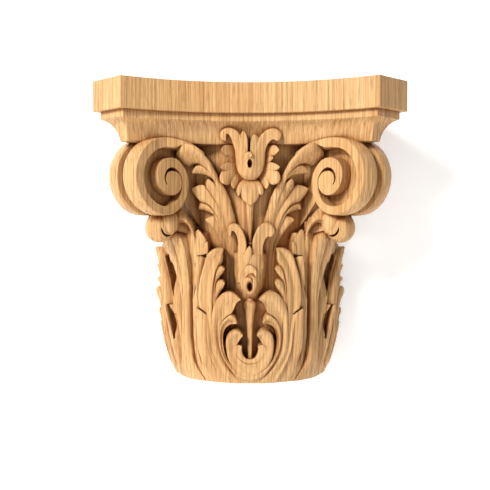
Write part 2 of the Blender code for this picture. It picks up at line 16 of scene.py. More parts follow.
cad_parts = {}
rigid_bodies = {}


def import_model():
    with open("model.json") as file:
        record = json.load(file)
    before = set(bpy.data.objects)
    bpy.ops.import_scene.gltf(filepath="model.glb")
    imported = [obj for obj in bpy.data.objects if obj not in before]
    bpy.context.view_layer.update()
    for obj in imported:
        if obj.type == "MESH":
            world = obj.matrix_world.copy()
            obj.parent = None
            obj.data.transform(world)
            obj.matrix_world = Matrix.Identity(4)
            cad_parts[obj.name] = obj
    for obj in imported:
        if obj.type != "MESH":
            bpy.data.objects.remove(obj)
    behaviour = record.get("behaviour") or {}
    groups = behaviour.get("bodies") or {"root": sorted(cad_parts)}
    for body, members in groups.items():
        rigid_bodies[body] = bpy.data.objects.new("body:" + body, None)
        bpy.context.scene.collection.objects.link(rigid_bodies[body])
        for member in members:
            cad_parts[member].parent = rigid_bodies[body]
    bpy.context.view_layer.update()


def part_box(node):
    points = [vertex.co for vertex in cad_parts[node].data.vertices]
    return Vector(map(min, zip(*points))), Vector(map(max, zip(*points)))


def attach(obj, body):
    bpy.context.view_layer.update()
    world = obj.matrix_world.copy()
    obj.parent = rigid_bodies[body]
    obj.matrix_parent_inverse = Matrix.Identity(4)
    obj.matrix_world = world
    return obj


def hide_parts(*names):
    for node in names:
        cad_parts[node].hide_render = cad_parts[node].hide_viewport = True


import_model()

NODE = "capital"
MM = 0.001
box_low, box_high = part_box(NODE)

# Overall sizes from the frame, mm
AXIS_Y = box_high[1] / MM
DEPTH = (box_high[1] - box_low[1]) / MM
HEIGHT = box_high[2] / MM
CORNER_TURN = 45.0
# Points of a smooth line between two given ones
LINE_FINENESS = 10

# Abacus: corner half width, sag of each concave side, and (height, inset) down its moulding, mm
ABACUS_CORNER = 118.2
ABACUS_SAG = 36.8
ABACUS_LEVELS = (
    (297, 0.5), (296.5, 0), (268.2, 0), (267.7, 0.5), (267.7, 5.6), (260.7, 5.6), (260.2, 6), (259.2, 8.3),
    (257.6, 11), (255, 13.8), (252, 16), (248.5, 17.8), (244, 19.3), (240.2, 20), (239.5, 20.6),
)
ARC_STEPS = 48

# Bell behind the carving: height, radius, mm
BELL = ((-4, 74), (60, 74), (130, 76), (175, 80), (210, 84.5), (245, 91))
BELL_STEPS = 96

# Front of the leaves and of the fronds: height, radius, mm
LEAF = (
    (-4, 81.5), (0, 82.7), (4, 84.6), (12, 88), (22, 91.5), (34, 95), (47, 97.2), (60, 98.6), (83, 100),
    (110, 101), (136, 101.5), (160, 103),
)
FROND = (
    (100, 74.5), (130, 76), (145, 80.5), (158, 86), (170, 88), (190, 94), (207, 101.5), (220, 109),
    (231, 121), (240, 126.5),
)
# Width of a degree of turn on the leaves, mm
MM_PER_DEGREE = 1.7

# Heights across a finger, as shares of its crest, from the edge nearer the leaf's rib to the other one
ROUND = ((0, 0), (0.08, 0.42), (0.25, 0.8), (0.5, 1), (0.75, 0.8), (0.92, 0.42), (1, 0))
RIDGE = ((0, 0), (0.06, 0.6), (0.16, 0.95), (0.28, 1), (0.5, 0.78), (0.75, 0.45), (0.93, 0.2), (1, -0.1))
HOLLOW = (
    (0, 0), (0.06, 0.62), (0.18, 0.97), (0.33, 1), (0.45, 0.8), (0.54, 0.25), (0.68, 0), (0.85, 0.05),
    (0.96, 0.15), (1, -0.2),
)
CREST = (
    (0, 0.45), (0.08, 0.75), (0.18, 0.97), (0.33, 1), (0.45, 0.85), (0.56, 0.4), (0.7, 0.18), (0.85, 0.2),
    (0.96, 0.25), (1, 0),
)
FLAT = ((0, 0), (0.06, 0.6), (0.15, 0.92), (0.5, 1), (0.85, 0.92), (0.94, 0.6), (1, 0))
EDGE = ((0, 0.72), (0.05, 0.94), (0.12, 1), (0.4, 0.86), (0.75, 0.5), (0.93, 0.2), (1, 0))
SOFT = ((0, 0.25), (0.1, 0.72), (0.26, 1), (0.5, 0.92), (0.8, 0.55), (0.94, 0.25), (1, 0))
INNER = ((0, 0.9), (0.1, 0.95), (0.5, 1), (0.82, 0.85), (0.94, 0.55), (1, 0.2))
GUTTER = (
    (0, 0), (0.07, 0.62), (0.17, 1), (0.3, 0.85), (0.46, 0.36), (0.58, 0.36), (0.74, 0.72), (0.87, 0.68),
    (0.95, 0.35), (1, 0),
)

# Fingers of the leaf on one side of its rib: cross-section, drop at the edges below the crest at the root
# and at the tip, lift off the leaf's front at both, then both edges as (turn, height) from root to tip
LEAF_FINGERS = {
    "valley": (
        SOFT, (0.8, 0.8), (0, 0),
        ((43, 100), (43.4, 112), (44.2, 120), (45, 128), (46, 135), (46.5, 143), (46, 150), (44, 158),
         (40, 164)),
        ((41, 100), (40.4, 112), (39.4, 120), (37.8, 128.5), (36.5, 135), (35.3, 143), (34.4, 150),
         (35.2, 158), (38, 163)),
    ),
    "inner": (
        ROUND, (2.8, 2.2), (0, 0),
        ((31.4, -4), (34, 3), (36.5, 9), (37.9, 16), (38.6, 23), (39.1, 31), (39.4, 40), (39.3, 50),
         (38.7, 60), (38.2, 72), (38, 83), (39.2, 95), (40.8, 107), (40.1, 118), (38.6, 127), (36.8, 136),
         (35.4, 145), (34.2, 151), (33.2, 154.5)),
        ((28.4, -4), (31.2, 3), (33.9, 9), (35.3, 16), (35.9, 23), (36.4, 31), (36.6, 40), (36.3, 50),
         (35.4, 60), (34.2, 70), (32.8, 79), (33, 87), (34.6, 96), (35.8, 106), (35.6, 118), (34.6, 127),
         (33.9, 136), (32.7, 145), (32.3, 151), (33.2, 154.5)),
    ),
    "top_lobe": (
        SOFT, (1.8, 2.2), (-3, 1.8),
        ((31, 96), (31.2, 108), (32.6, 118), (34.8, 126), (34.9, 134), (34.4, 142), (33.8, 147),
         (32.6, 152), (29.9, 155.4)),
        ((27, 96), (27, 112), (26.7, 128), (26.2, 138), (26.1, 144), (26.5, 147), (27.6, 150),
         (28.6, 152.8), (29.9, 155.4)),
    ),
    "top_tooth": (
        SOFT, (1.2, 1.6), (-4, 0.6),
        ((29, 96), (29, 116), (28.6, 129), (27.9, 136), (26.6, 141.2), (24.4, 143.6)),
        ((25.8, 96), (25.6, 115), (25.3, 129.7), (24.9, 135.4), (24.6, 139.7), (24.4, 143.6)),
    ),
    "upper_pipe": (
        EDGE, (3.4, 4.4), (-3, 3.6),
        ((35.4, 68), (35.5, 80), (35.1, 89), (34.4, 97), (33.5, 107), (32.7, 114), (31.8, 121), (31, 126),
         (30.2, 128.7)),
        ((31.9, 68), (32.2, 80), (31.9, 88), (31.6, 97), (30.8, 104), (29.8, 110), (28.4, 118),
         (27.5, 123), (27.3, 126.5), (28.4, 128.6), (30.2, 128.7)),
    ),
    "lower_pipe": (
        EDGE, (3.8, 4.6), (-0.6, 4.2),
        ((26, -4), (29.6, 8), (31.1, 15), (32.4, 26), (33.3, 37), (33.1, 44), (32.7, 51), (32, 62),
         (31.6, 70), (31.3, 75), (31, 77.6)),
        ((16, -4), (21.6, 9), (24, 17), (25.5, 27), (26, 38), (26, 50), (25.7, 60), (25.6, 66), (26.3, 70),
         (27.8, 73.2), (29.5, 75.8), (31, 77.6)),
    ),
    "upper_lobe": (
        GUTTER, (4.6, 5.2), (0.4, 4.8),
        ((16, -4), (22.4, 14), (24.8, 26), (25.9, 38), (26.2, 50), (26.8, 60), (28.6, 70), (30.6, 79),
         (31.2, 87), (30.9, 97), (30, 104), (29, 110), (27.8, 116), (26.6, 122), (25.5, 128),
         (23.8, 132.6), (21.4, 135.6), (18, 137.2), (14.6, 137)),
        ((11, -4), (17, 14.5), (20.4, 26.5), (22, 38), (22.2, 50), (22.2, 65.5), (21.4, 85.5),
         (20.8, 100.5), (19.6, 110), (18.3, 116), (17.1, 120.3), (15.8, 124.5), (15.3, 128.6), (15.2, 131),
         (14.6, 134.5), (14.4, 136.8)),
    ),
    "middle_tooth": (
        ROUND, (1.8, 3), (-2, 3.2),
        ((23.2, 50), (22.6, 80), (21.4, 95), (20, 108), (18.6, 116.5), (17.2, 119.8), (15.5, 119),
         (13.9, 116.5)),
        ((21, 50), (20.8, 75), (20.6, 87), (20.2, 97), (19.2, 104), (17.8, 108), (15.8, 112),
         (13.9, 116.5)),
    ),
    "lower_tooth": (
        ROUND, (1.8, 3), (-2, 3),
        ((22.4, 44), (21.8, 70), (21.2, 85), (20.2, 97), (18.9, 104), (17.2, 106), (15.3, 105),
         (13.9, 102)),
        ((20.4, 44), (20.2, 67), (19.9, 80), (19.2, 87), (18.2, 91.5), (16.8, 95), (15.2, 98.5),
         (13.9, 102)),
    ),
    "lower_lobe": (
        CREST, (4, 4.8), (0.2, 4.4),
        ((11.6, -4), (18, 13.5), (21.8, 26.5), (23.4, 38), (23.4, 50), (22.8, 65.5), (21.4, 77.5),
         (19.6, 84.5), (17.8, 88.5), (16, 91.5), (13.6, 93.5), (11, 94), (8.4, 92), (6.2, 89), (5, 86.5)),
        ((-3, -4), (6, 6), (12.4, 16), (16, 27), (17.6, 38.5), (18.2, 50.5), (17.2, 60.5), (15.2, 67),
         (12.8, 70.5), (11, 72), (9.2, 77), (8, 81.5), (6.4, 85), (5, 86.5)),
    ),
    "lower_loop": (
        HOLLOW, (2.8, 3.4), (0.8, 1.8),
        ((-2, 4.4), (4.8, 6), (9.4, 10.5), (13.6, 19), (16.4, 28.5), (18.2, 38), (18.4, 48.5),
         (17.8, 57.5), (16.2, 64), (13.4, 69), (11, 71.5), (9.2, 70), (7.8, 66.5), (7.4, 62.5)),
        ((-2, 8.8), (4, 10), (7.8, 13.2), (11.6, 18.6), (14, 24), (15.6, 31.2), (16.3, 38), (16.5, 45),
         (16.1, 52), (15, 56.5), (12.6, 60.5), (9.8, 62), (7.4, 62.5)),
    ),
    "middle_loop": (
        HOLLOW, (2.2, 3.2), (0.4, 1.4),
        ((-2, 8), (4, 9), (7.6, 13), (11, 18.6), (13.2, 25), (14.1, 34), (14.5, 41.5), (14, 47.9),
         (12.4, 52.8), (10.2, 55.2), (7.8, 56), (5.8, 54.5), (4, 50.5)),
        ((-2, 19.2), (3.8, 21), (6.6, 24.5), (8.4, 29.5), (8.6, 35.5), (8, 40.5), (6.6, 45), (5.4, 48),
         (4, 50.5)),
    ),
    "inner_loop": (
        INNER, (1, 1.4), (-1.9, -0.8),
        ((-2, 15.2), (4.4, 17), (7.6, 21), (9.8, 28), (10.2, 35.5), (9, 39.6), (6.8, 40.6), (4.8, 39.4)),
        ((-2, 24.5), (2, 25), (3.6, 27), (4.8, 30.5), (5.2, 34.5), (4.8, 39.2)),
    ),
}
# Ground of two of the fingers off the leaf's front, by height; the others lie on the front itself
FINGER_FLOORS = {
    "valley": (
        (96, -12), (107, -10.5), (118, -6), (128, -2.5), (136, 0), (144, 1.5), (150, 0.5), (156, -3),
        (164, -6),
    ),
    "inner": (
        (0, 0), (9, -2), (16, -2.4), (22, -3), (30, -4.2), (40, -5.2), (52, -5.2), (60, -5.2), (70, -4.2),
        (83, -3.6), (95, -7), (107, -8.2), (119, -6.4), (126, -4), (135, -0.6), (145, 1.8), (154, 3.6),
    ),
}
LEVEL_FLOOR = ((0, 0),)

# Fingers of the frond beside the middle, in the same terms
FROND_FINGERS = {
    "stalk": (
        ROUND, (3, 4.2), (-0.2, 2.6),
        ((16.4, 60), (16.4, 95), (16.2, 122.5), (16.4, 144.5), (17.2, 159.5), (18.6, 174.5), (19.8, 187.5),
         (20.6, 197.5), (21.6, 206), (23.8, 213), (26.2, 217.5), (28, 220), (30, 221), (32.5, 220.5),
         (35.5, 219), (37.4, 221.5)),
        ((9.6, 60), (9.6, 95), (9.6, 122.5), (9.6, 144.5), (10, 162.5), (11, 170.5), (12.2, 177.5),
         (13, 184.5), (14.6, 192), (16.2, 198.5), (17.6, 203), (18.6, 208), (19.8, 214.5), (21, 221.5),
         (22.4, 227), (24, 232.5), (27, 237), (30.5, 239), (34.5, 236.5), (37.6, 230)),
    ),
    "barb": (
        RIDGE, (1.8, 3.4), (-0.6, 2),
        ((18.6, 188), (19.6, 203), (21.8, 210), (24.6, 215.5), (27.4, 219), (29.2, 218.5), (31.2, 216),
         (33.2, 211.5)),
        ((17.6, 185), (19.2, 198.5), (20.2, 201.5), (21.6, 204.5), (23.4, 207.5), (25.6, 210), (28, 211),
         (30.4, 211.5), (33.2, 211.5)),
    ),
    "upper_tooth": (
        ROUND, (1.8, 3.2), (-1, 1.8),
        ((15.8, 135), (16.4, 150), (17.8, 162.5), (20.6, 175.5), (23.4, 186), (25.8, 193.5), (27.2, 198.5),
         (26.6, 202), (25.2, 204.5), (23.8, 205.5)),
        ((12, 135), (12.2, 150), (13, 162.5), (15, 177.5), (17.4, 188.5), (19.2, 196.5), (21, 201),
         (22.4, 203.5), (23.8, 205.5)),
    ),
    "middle_tooth": (
        RIDGE, (3.4, 4.8), (0.2, 3),
        ((17.4, 128), (17.8, 142), (19.4, 156.5), (22.8, 171), (26.6, 179.5), (30.4, 182), (33, 183),
         (34.6, 186), (36, 190), (36.4, 194.5), (36.4, 196.5)),
        ((15, 128), (15.4, 142), (16.6, 156.5), (19.2, 171.5), (22.4, 182.5), (25.4, 191.5), (27.6, 197),
         (28.6, 199), (31.4, 200), (34, 199), (36.4, 196.5)),
    ),
    "lower_tooth": (
        ROUND, (1.8, 3.2), (-1, 1.6),
        ((18.4, 122), (18.8, 136), (20.6, 149.5), (23.2, 162.5), (25, 170), (27.2, 172), (29.6, 174),
         (32.2, 175), (35, 176)),
        ((16, 122), (16.6, 136), (18.2, 152.5), (21.2, 166.5), (25, 176), (29, 181.5), (31.6, 182.5),
         (33.4, 183), (34.6, 180), (35, 176)),
    ),
    "lowest_tooth": (
        RIDGE, (3.2, 4.6), (0, 2.6),
        ((17.8, 95), (18.2, 109.5), (19.2, 126.5), (20.2, 137.5), (22.2, 144.5), (23.8, 150),
         (25.8, 155.5), (28.2, 160), (30.6, 165)),
        ((15.6, 95), (16, 109.5), (17, 126.5), (18, 137.5), (19.4, 148.5), (20.8, 157.5), (22.8, 165),
         (25, 170), (27, 169), (29, 167.5), (30.6, 165)),
    ),
}
# Distance of the fingers' roots from the axis, overlap of neighbours at the root, distance between
# stations, mm; points across a finger
FINGER_ROOT = 68.0
FINGER_OVERLAP = 1.4
FINGER_STEP = 2.0
FINGER_COLUMNS = 11
# Stations along a strip: the fewest, where the last one stands as a share of its length, and how they
# crowd towards its tip; percentile of its widths that counts as full; narrowest width, mm
STRIP_LEAST = 6
STRIP_END = 0.9985
STRIP_CROWDING = 1.25
STRIP_FULL = 75
STRIP_NARROW = 0.1
# The grooves between the fingers die out towards the foot, below this height
FOOT_HEIGHT = 14.0
FOOT_SHARE = 0.4
# Depth of the fingers from front to back by height, and the least distance of their back
FINGER_DEPTH = ((150, 90), (175, 60), (205, 13), (240, 11))
FINGER_LEAST = ((120, 20), (136, 56))
# Shares of a finger's length between which the drop at its edges grows; the share where its tip begins
# to bend back, and by how much, mm
GROWTH_START = 0.35
GROWTH_END = 0.85
TIP_SHARE = 0.94
TIP_DROP = 0.9

# Leaf blade under the fingers: height, half span in degrees, depth below the leaf's front
BLADE = (
    (-4, 47, 0.6), (6, 47, 1.6), (15, 46, 3), (23, 41, 5), (30, 34, 6.5), (44, 26, 10), (60, 22, 13.5),
    (90, 20, 13.5), (120, 16, 14.5), (152, 13, 13),
)
BLADE_STEPS = 40
BLADE_STATIONS = 60

# Middle rib of the leaf: height, half width, reach of its edges and of its crest, mm; then the depth of
# its vein by height, the powers that shape the vein and the crown, and the shares across at its root
RIB = (
    (-4, 20, 78.5, 81.5), (3, 15.6, 82.7, 85.4), (9, 12.2, 84.8, 88.2), (20, 8.3, 89.4, 93.2),
    (34, 6.2, 91.8, 96), (48, 5.2, 92.4, 97.2), (60, 4.9, 92.5, 97.6), (83, 5.2, 92.8, 97.9),
    (95, 6.8, 94.8, 99.2), (107, 9.1, 97.4, 101.4), (119, 10.9, 100.6, 104.2), (132, 13.5, 105.6, 108.8),
    (139, 14.4, 108.2, 111.6), (143, 14.1, 109.6, 113.2), (147, 13.2, 110.8, 114.4), (150, 11, 111.6, 115),
    (152.4, 7, 112.6, 115.4), (153.6, 2.5, 114, 116),
)
RIB_VEIN = ((-4, 0.4), (10, 1.2), (40, 1.6), (84, 1.8), (105, 2.4), (130, 3.2), (148, 2.8), (154, 0.6))
RIB_VEIN_WIDTH = 1.9
RIB_VEIN_FLANK = 1.3
RIB_CROWN = 2.3
RIB_SCALE = (1.0, 0.3, 0.3, 0.3)
RIB_ROOT = (0.9, 0.0, -0.9)
RIB_STATIONS = 90
RIB_COLUMNS = 41

# Eyes cut under the rims of the two pipes: height, turn of the rim and of the finger beside it, and the
# radius at which the rim is undercut
LEAF_EYES = (
    ((86, 35.6, 35.7, 100), (91, 35, 35.5, 100), (97, 34.2, 35.6, 100), (103, 33.7, 35.9, 100.2),
     (109, 33.1, 36.1, 100.8), (115, 32.4, 35.8, 101.8), (121, 31.6, 33.7, 102.8),
     (129.6, 30.7, 31.8, 103.5)),
    ((40, 34.2, 34.3, 97), (46, 33.5, 34.3, 97.4), (51, 32.9, 34.8, 98), (56, 32.4, 35, 98.6),
     (62, 31.9, 34.6, 99.4), (69, 31.5, 33.9, 100.6), (77.3, 30.8, 32.2, 101.8)),
)
# Height over which an eye opens, turn from its side to its foot, rise of its side
EYE_TAPER = 9.0
EYE_FOOT = 0.5
EYE_SIDE = 7.0
# Section of an eye from its opening to the hollow under the rim: turn and radius off the rim's edge
EYE_SECTION = ((0, 13), (0, 0), (-0.8, -2), (-4, -6), (-8, -10), (-8.5, -16))
# Radius of an eye's floor, and of its shallow end
EYE_FLOOR = 84.0
EYE_SHALLOW = 97.0

# Hooked slit between the rolled tip and its tongue, as (x, height) seen from the front
HOOK = (
    (86.4, 158), (87, 154.3), (85.5, 150.6), (82.4, 148.2), (78.4, 148.7), (78.6, 150.2), (81.2, 150.2),
    (83.3, 151.6), (85, 154.3),
)
HOOK_FORWARD = (91, 130)

# Gaps above the tips of the two pipes, seen from the front as (x, height), and the depth they start from
PIPE_GAPS = (
    (83, ((43.5, 131.5), (48.4, 130), (47, 128.4), (44.8, 126.8), (43.3, 128.2))),
    (
        80.5,
        ((53.6, 79), (50.4, 77.2), (47, 75.2), (43, 71.6), (43.6, 70.2), (47.6, 73.2), (51, 75.4),
         (53.4, 77.2)),
    ),
)
GAP_FRONT = 130.0

# Rolled tip of the leaf below the volute: reach, across and height of its middle, and half sizes, mm
LEAF_TIPS = (
    ((127.5, 0, 157.2), (14.2, 14.6, 15)),
    ((123, 10.5, 162.5), (9.5, 8.2, 12.2)),
    ((123, -10.5, 162.5), (9.5, 8.2, 12.2)),
)

# Hood beside the rib, seen from the front: rim of its arch and outline of its back, as (x, height)
HOOD_RIM = (
    (78.2, 150), (77, 157.5), (73.8, 162.8), (68.7, 165.1), (64.1, 163.2), (60.1, 158.7), (57.6, 153.7),
    (56.6, 149),
)
HOOD_OUTLINE = (
    (85, 156), (83, 166), (79, 173.5), (70.5, 177.5), (64, 171.8), (59.6, 165.3), (56.2, 158.2),
    (54, 151.5),
)
HOOD_CENTRE = (67.5, 152)
# Cross-section of the hood: share of the way from rim to outline (below zero: to the centre), forward
HOOD_SECTION = (
    (0, 91), (0.12, 91.6), (0.3, 91.2), (0.55, 89.4), (0.8, 86.6), (0.95, 84), (1, 80.5), (0.2, 60),
    (-0.25, 58), (-0.25, 80), (-0.14, 84.5), (-0.05, 88.6),
)
HOOD_STATIONS = 30
# Wood behind the hood: which points of the rim it uses, inset towards the centre, back and front
HOOD_FILL_EVERY = 4
HOOD_FILL_INSET = 0.15
HOOD_FILL_FORWARD = (58, 79)

# End of the volute's outer band that runs under the abacus into the frond: x, lower and upper height,
# forward
BAND_END = (
    (84, 236, 244.2, 113.2), (79.6, 235.2, 244.6, 111), (72.8, 235, 243.9, 108.6),
    (66, 237.4, 242.2, 106.4), (58.3, 236.6, 239.8, 104.8), (51.5, 232.5, 235.8, 103.4),
    (45, 227.5, 230.8, 102),
)
BAND_END_ROOT = 88.0
BAND_BEVEL = 0.7
BAND_BEVEL_DEPTH = 0.6
BAND_EVERY = 3

# Volute, mm: place of its eye, depth of the groove; the scroll's plane holds the column's axis
VOLUTE_EYE_REACH = 127.0
VOLUTE_EYE_HEIGHT = 205.6
VOLUTE_RECESS = 13.7
# Cross-section of the rim: distance from the scroll's plane, inset of the outline, swell at the
# outermost side
VOLUTE_RIM = (
    (21.95, 0.9, 0), (21.1, 0, 0), (17, -0.2, 0.9), (12, -0.4, 1.8), (8, -0.3, 2.4), (6.9, 0, 2.6),
    (6.5, 0.5, 2.6), (4.9, 0.7, 2.6), (4.6, 1.5, 2.4), (4.6, 16, 0),
)
VOLUTE_NECK = ((70, 150), (84, 164), (97, 180), (108, 196), (118, 206), (118, 238), (70, 238))
VOLUTE_NECK_HALF = 5.5
# Outline of the two bars that the outer band springs from, under the abacus: reach and height
VOLUTE_SPRING = (
    (124, 235.4), (124, 244.8), (117, 244.6), (106, 241.9), (97, 238.2), (90, 233.6), (90, 226), (99, 231),
    (110, 234.6),
)
# Outer and inner edges of the scroll's band every 45 degrees, from its top outward and round to the eye
SCROLL_STEP = 45.0
SCROLL_OUTER = (
    39, 44.2, 45.8, 41.8, 34.6, 24.2, 19.3, 18, 19.4, 21.2, 19.1, 17.6, 16.6, 13.4, 9.6, 7.4, 6.7, 8, 9.4,
    10,
)
SCROLL_INNER = (29.2, 34, 36.3, 33, 25.8, 14.7, 10.6, 9.2, 10.3, 11, 11.4, 11)
# In degrees round the eye: where the two tables start, and with which values; where the disc starts and
# ends, and where its groove does; then the least width of the groove, mm
SCROLL_START = -45.0
SCROLL_START_OUTER = 45.0
SCROLL_START_INNER = 32.0
SCROLL_FIRST = -24.0
SCROLL_END = 334.0
GROOVE_START = -30.0
GROOVE_END = 490.0
GROOVE_LEAST = 0.9
# Reach of the groove's cutter past the face, and inset of the two bars from it, mm
GROOVE_REACH = 5.0
SPRING_INSET = 0.3
SCROLL_STATIONS = 120
GROOVE_STATIONS = 180

# Flowers, drawn in the face plane as (x, z) edges from root to tip, mm; the front gives (height, forward)
# at the middle and the fall says how far it drops to the sides, and over what width. The cup is given as
# (height, radius) about its upright axis, the hole as x, height and its half sizes
UPPER_FLOWER = {
    "axis": 92,
    "front": (
        (203, 94.5), (205, 98), (209, 102.6), (215.5, 105.3), (225, 106.4), (235, 107.2), (244, 108.5),
        (255, 110.5),
    ),
    "fall": (7, 12),
    "cup": (
        (203.5, 0), (204.3, 5), (209, 10), (215.5, 12.7), (224, 13.8), (230, 13.6), (231, 12), (231.2, 0),
    ),
    "petals": (
        (
            FLAT, (1.6, 2.6), (-0.6, 2),
            ((-3.5, 204.6), (-7, 206.6), (-10.2, 209.8), (-12.9, 215.5), (-14.1, 225), (-14.8, 233),
             (-17, 240), (-18.5, 245), (-20.5, 248.4), (-22.5, 248.6), (-23.2, 246), (-23.4, 242)),
            ((2, 204.6), (1, 208), (0, 215), (-1, 224), (-3.2, 233), (-6, 241), (-9, 247.3),
             (-12.5, 251.6), (-17, 254.2), (-21.5, 255), (-26, 253.5), (-29, 249.5), (-28.8, 245),
             (-26.6, 242.4), (-23.4, 242)),
        ),
        (
            FLAT, (1.6, 2.6), (-0.6, 2),
            ((-2, 204.6), (-1, 208), (0, 215), (1, 224), (3.2, 233), (6.5, 239.6), (9.2, 245.4),
             (12.5, 249.4), (17, 252.8), (22.5, 254.5), (28, 252.6), (30.7, 248.5), (30, 244.5),
             (27.6, 241.8), (25, 242.2)),
            ((3.5, 204.6), (7, 206.6), (10.4, 209.8), (13.3, 216), (14.7, 226), (15.3, 233), (17, 238),
             (19, 241.3), (22, 243.4), (24, 243.2), (25, 242.2)),
        ),
        (
            ROUND, (0.6, 2), (-1.2, 0.8),
            ((-11, 213), (-11.2, 227), (-11, 237), (-10.4, 243.5), (-9, 248.3), (-6.5, 251.3)),
            ((-1.5, 213), (-1.8, 222), (-2.3, 231), (-2, 238), (-2.4, 243), (-3.9, 248), (-6.5, 251.3)),
        ),
        (
            ROUND, (0.6, 2), (-1.2, 0.2),
            ((0.5, 213), (0, 222), (0.3, 231), (0.4, 237), (0.9, 242), (2.2, 246), (4, 247.8)),
            ((12, 213), (12.2, 227), (11.4, 236), (10.2, 241.5), (7.6, 245.8), (4, 247.8)),
        ),
    ),
    "scroll": (
        (
            RIDGE, (1, 2.6), (-0.4, 3),
            ((-1, 206), (-4.5, 208), (-7.3, 212.5), (-8.6, 218.5), (-8.6, 224), (-6.6, 228), (-3.6, 230.6),
             (-0.5, 231), (1.8, 229.4), (2.4, 226)),
            ((4, 207), (0.6, 210), (-1.8, 213.5), (-3.2, 217.5), (-3.5, 221), (-2.8, 223.6), (-1.2, 225),
             (0.5, 225.6), (2.4, 226)),
        ),
    ),
    "hole": (-0.3, 219.8, 2.4, 4.4),
}
LOWER_FLOWER = {
    "axis": 77,
    "front": (
        (83, 84), (86, 88), (91, 90.8), (97, 92.6), (105, 93.8), (115, 94.4), (130, 94.6), (145, 95.4),
        (163, 97),
    ),
    "fall": (7, 13),
    "cup": (
        (83.6, 0), (84, 4), (88.5, 8.6), (94.5, 12.5), (102.5, 15), (112, 16.2), (122, 16.9), (129, 17.4),
        (129.8, 17.2), (130, 0),
    ),
    "petals": (
        (
            FLAT, (0.8, 2.4), (-1.6, 3),
            ((-13, 116), (-13, 123), (-12.6, 130.5), (-12, 137), (-12.2, 144), (-13.6, 150),
             (-15.4, 153.3), (-17.2, 154.2), (-18.4, 152.6), (-19, 149)),
            ((-2.5, 116), (-2.5, 123), (-3.2, 133), (-4, 144.5), (-6.2, 152), (-9.4, 157.8),
             (-13.8, 161.3), (-18.2, 161.3), (-21.8, 157.8), (-22.6, 153.5), (-21.2, 149.6), (-19, 149)),
        ),
        (
            FLAT, (0.8, 2.4), (-1.6, 2.4),
            ((0.5, 116), (0.8, 123), (2.3, 135), (3, 145.5), (4.8, 151), (7.8, 157), (11.8, 161),
             (16.7, 162.4), (21.4, 160.4), (24.4, 156), (24.2, 151.5), (21.4, 148.2), (18.3, 148.8)),
            ((13.5, 116), (13.5, 123), (13.2, 130), (13.3, 139.5), (14.6, 145.3), (16.4, 148.4),
             (18.3, 148.8)),
        ),
        (
            ROUND, (1.2, 3), (-0.6, 3.8),
            ((-13.5, 102), (-12.5, 110), (-10.5, 118), (-8.4, 124), (-6.6, 129), (-4.6, 133.4),
             (-2.6, 137), (-0.4, 139.4)),
            ((-5, 104), (-3.5, 111), (-1.6, 119), (0.8, 124), (2.2, 129), (2.4, 133.4), (1.4, 137),
             (-0.4, 139.4)),
        ),
    ),
    "scroll": (
        (
            RIDGE, (1.4, 3.2), (0.6, 4.4),
            ((-4, 92), (-8, 95), (-10.2, 101), (-10, 107), (-8.6, 113), (-5.4, 118.2), (-1, 120.6),
             (3, 119.8), (5.9, 117), (7, 113), (6.4, 110), (5, 109.6)),
            ((-2, 95.5), (-3.6, 97.5), (-4.6, 101), (-4.8, 104.5), (-4.3, 107), (-3, 109), (-1, 111),
             (1, 112), (2.6, 112.2), (3.9, 111.6), (4.6, 110.6), (5, 109.6)),
        ),
        (
            ROUND, (1, 1.6), (0.2, 1.8),
            ((3, 110), (6.6, 107), (7.8, 102), (7, 96.2), (4.4, 91.6), (0, 89.6), (-5, 91.2), (-7.4, 96),
             (-7.4, 102), (-5.6, 106.6), (-3, 108.2), (0, 107.4), (1.8, 104.8)),
            ((-0.5, 108.5), (2.6, 106), (3.2, 102), (2.9, 98.3), (2.1, 95), (0, 93.6), (-2, 95),
             (-2.8, 97.5), (-3, 100), (-2.5, 102.2), (-1.4, 103.6), (0.2, 104.4), (1.8, 104.8)),
        ),
    ),
    "hole": (0, 98.6, 2.4, 4.6),
}
# Thickness of a petal, distance between stations along it and down a cup, mm; sides of a cup; half depth
# of a hole, mm
PETAL_THICKNESS = 9.0
PETAL_STEP = 1.2
CUP_STEP = 1.5
CUP_SIDES = 64
HOLE_REACH = 14.0
# Segments and rows of the balls
TIP_DETAIL = (48, 32)
HOLE_DETAIL = (24, 16)
BEAD_DETAIL = (20, 14)

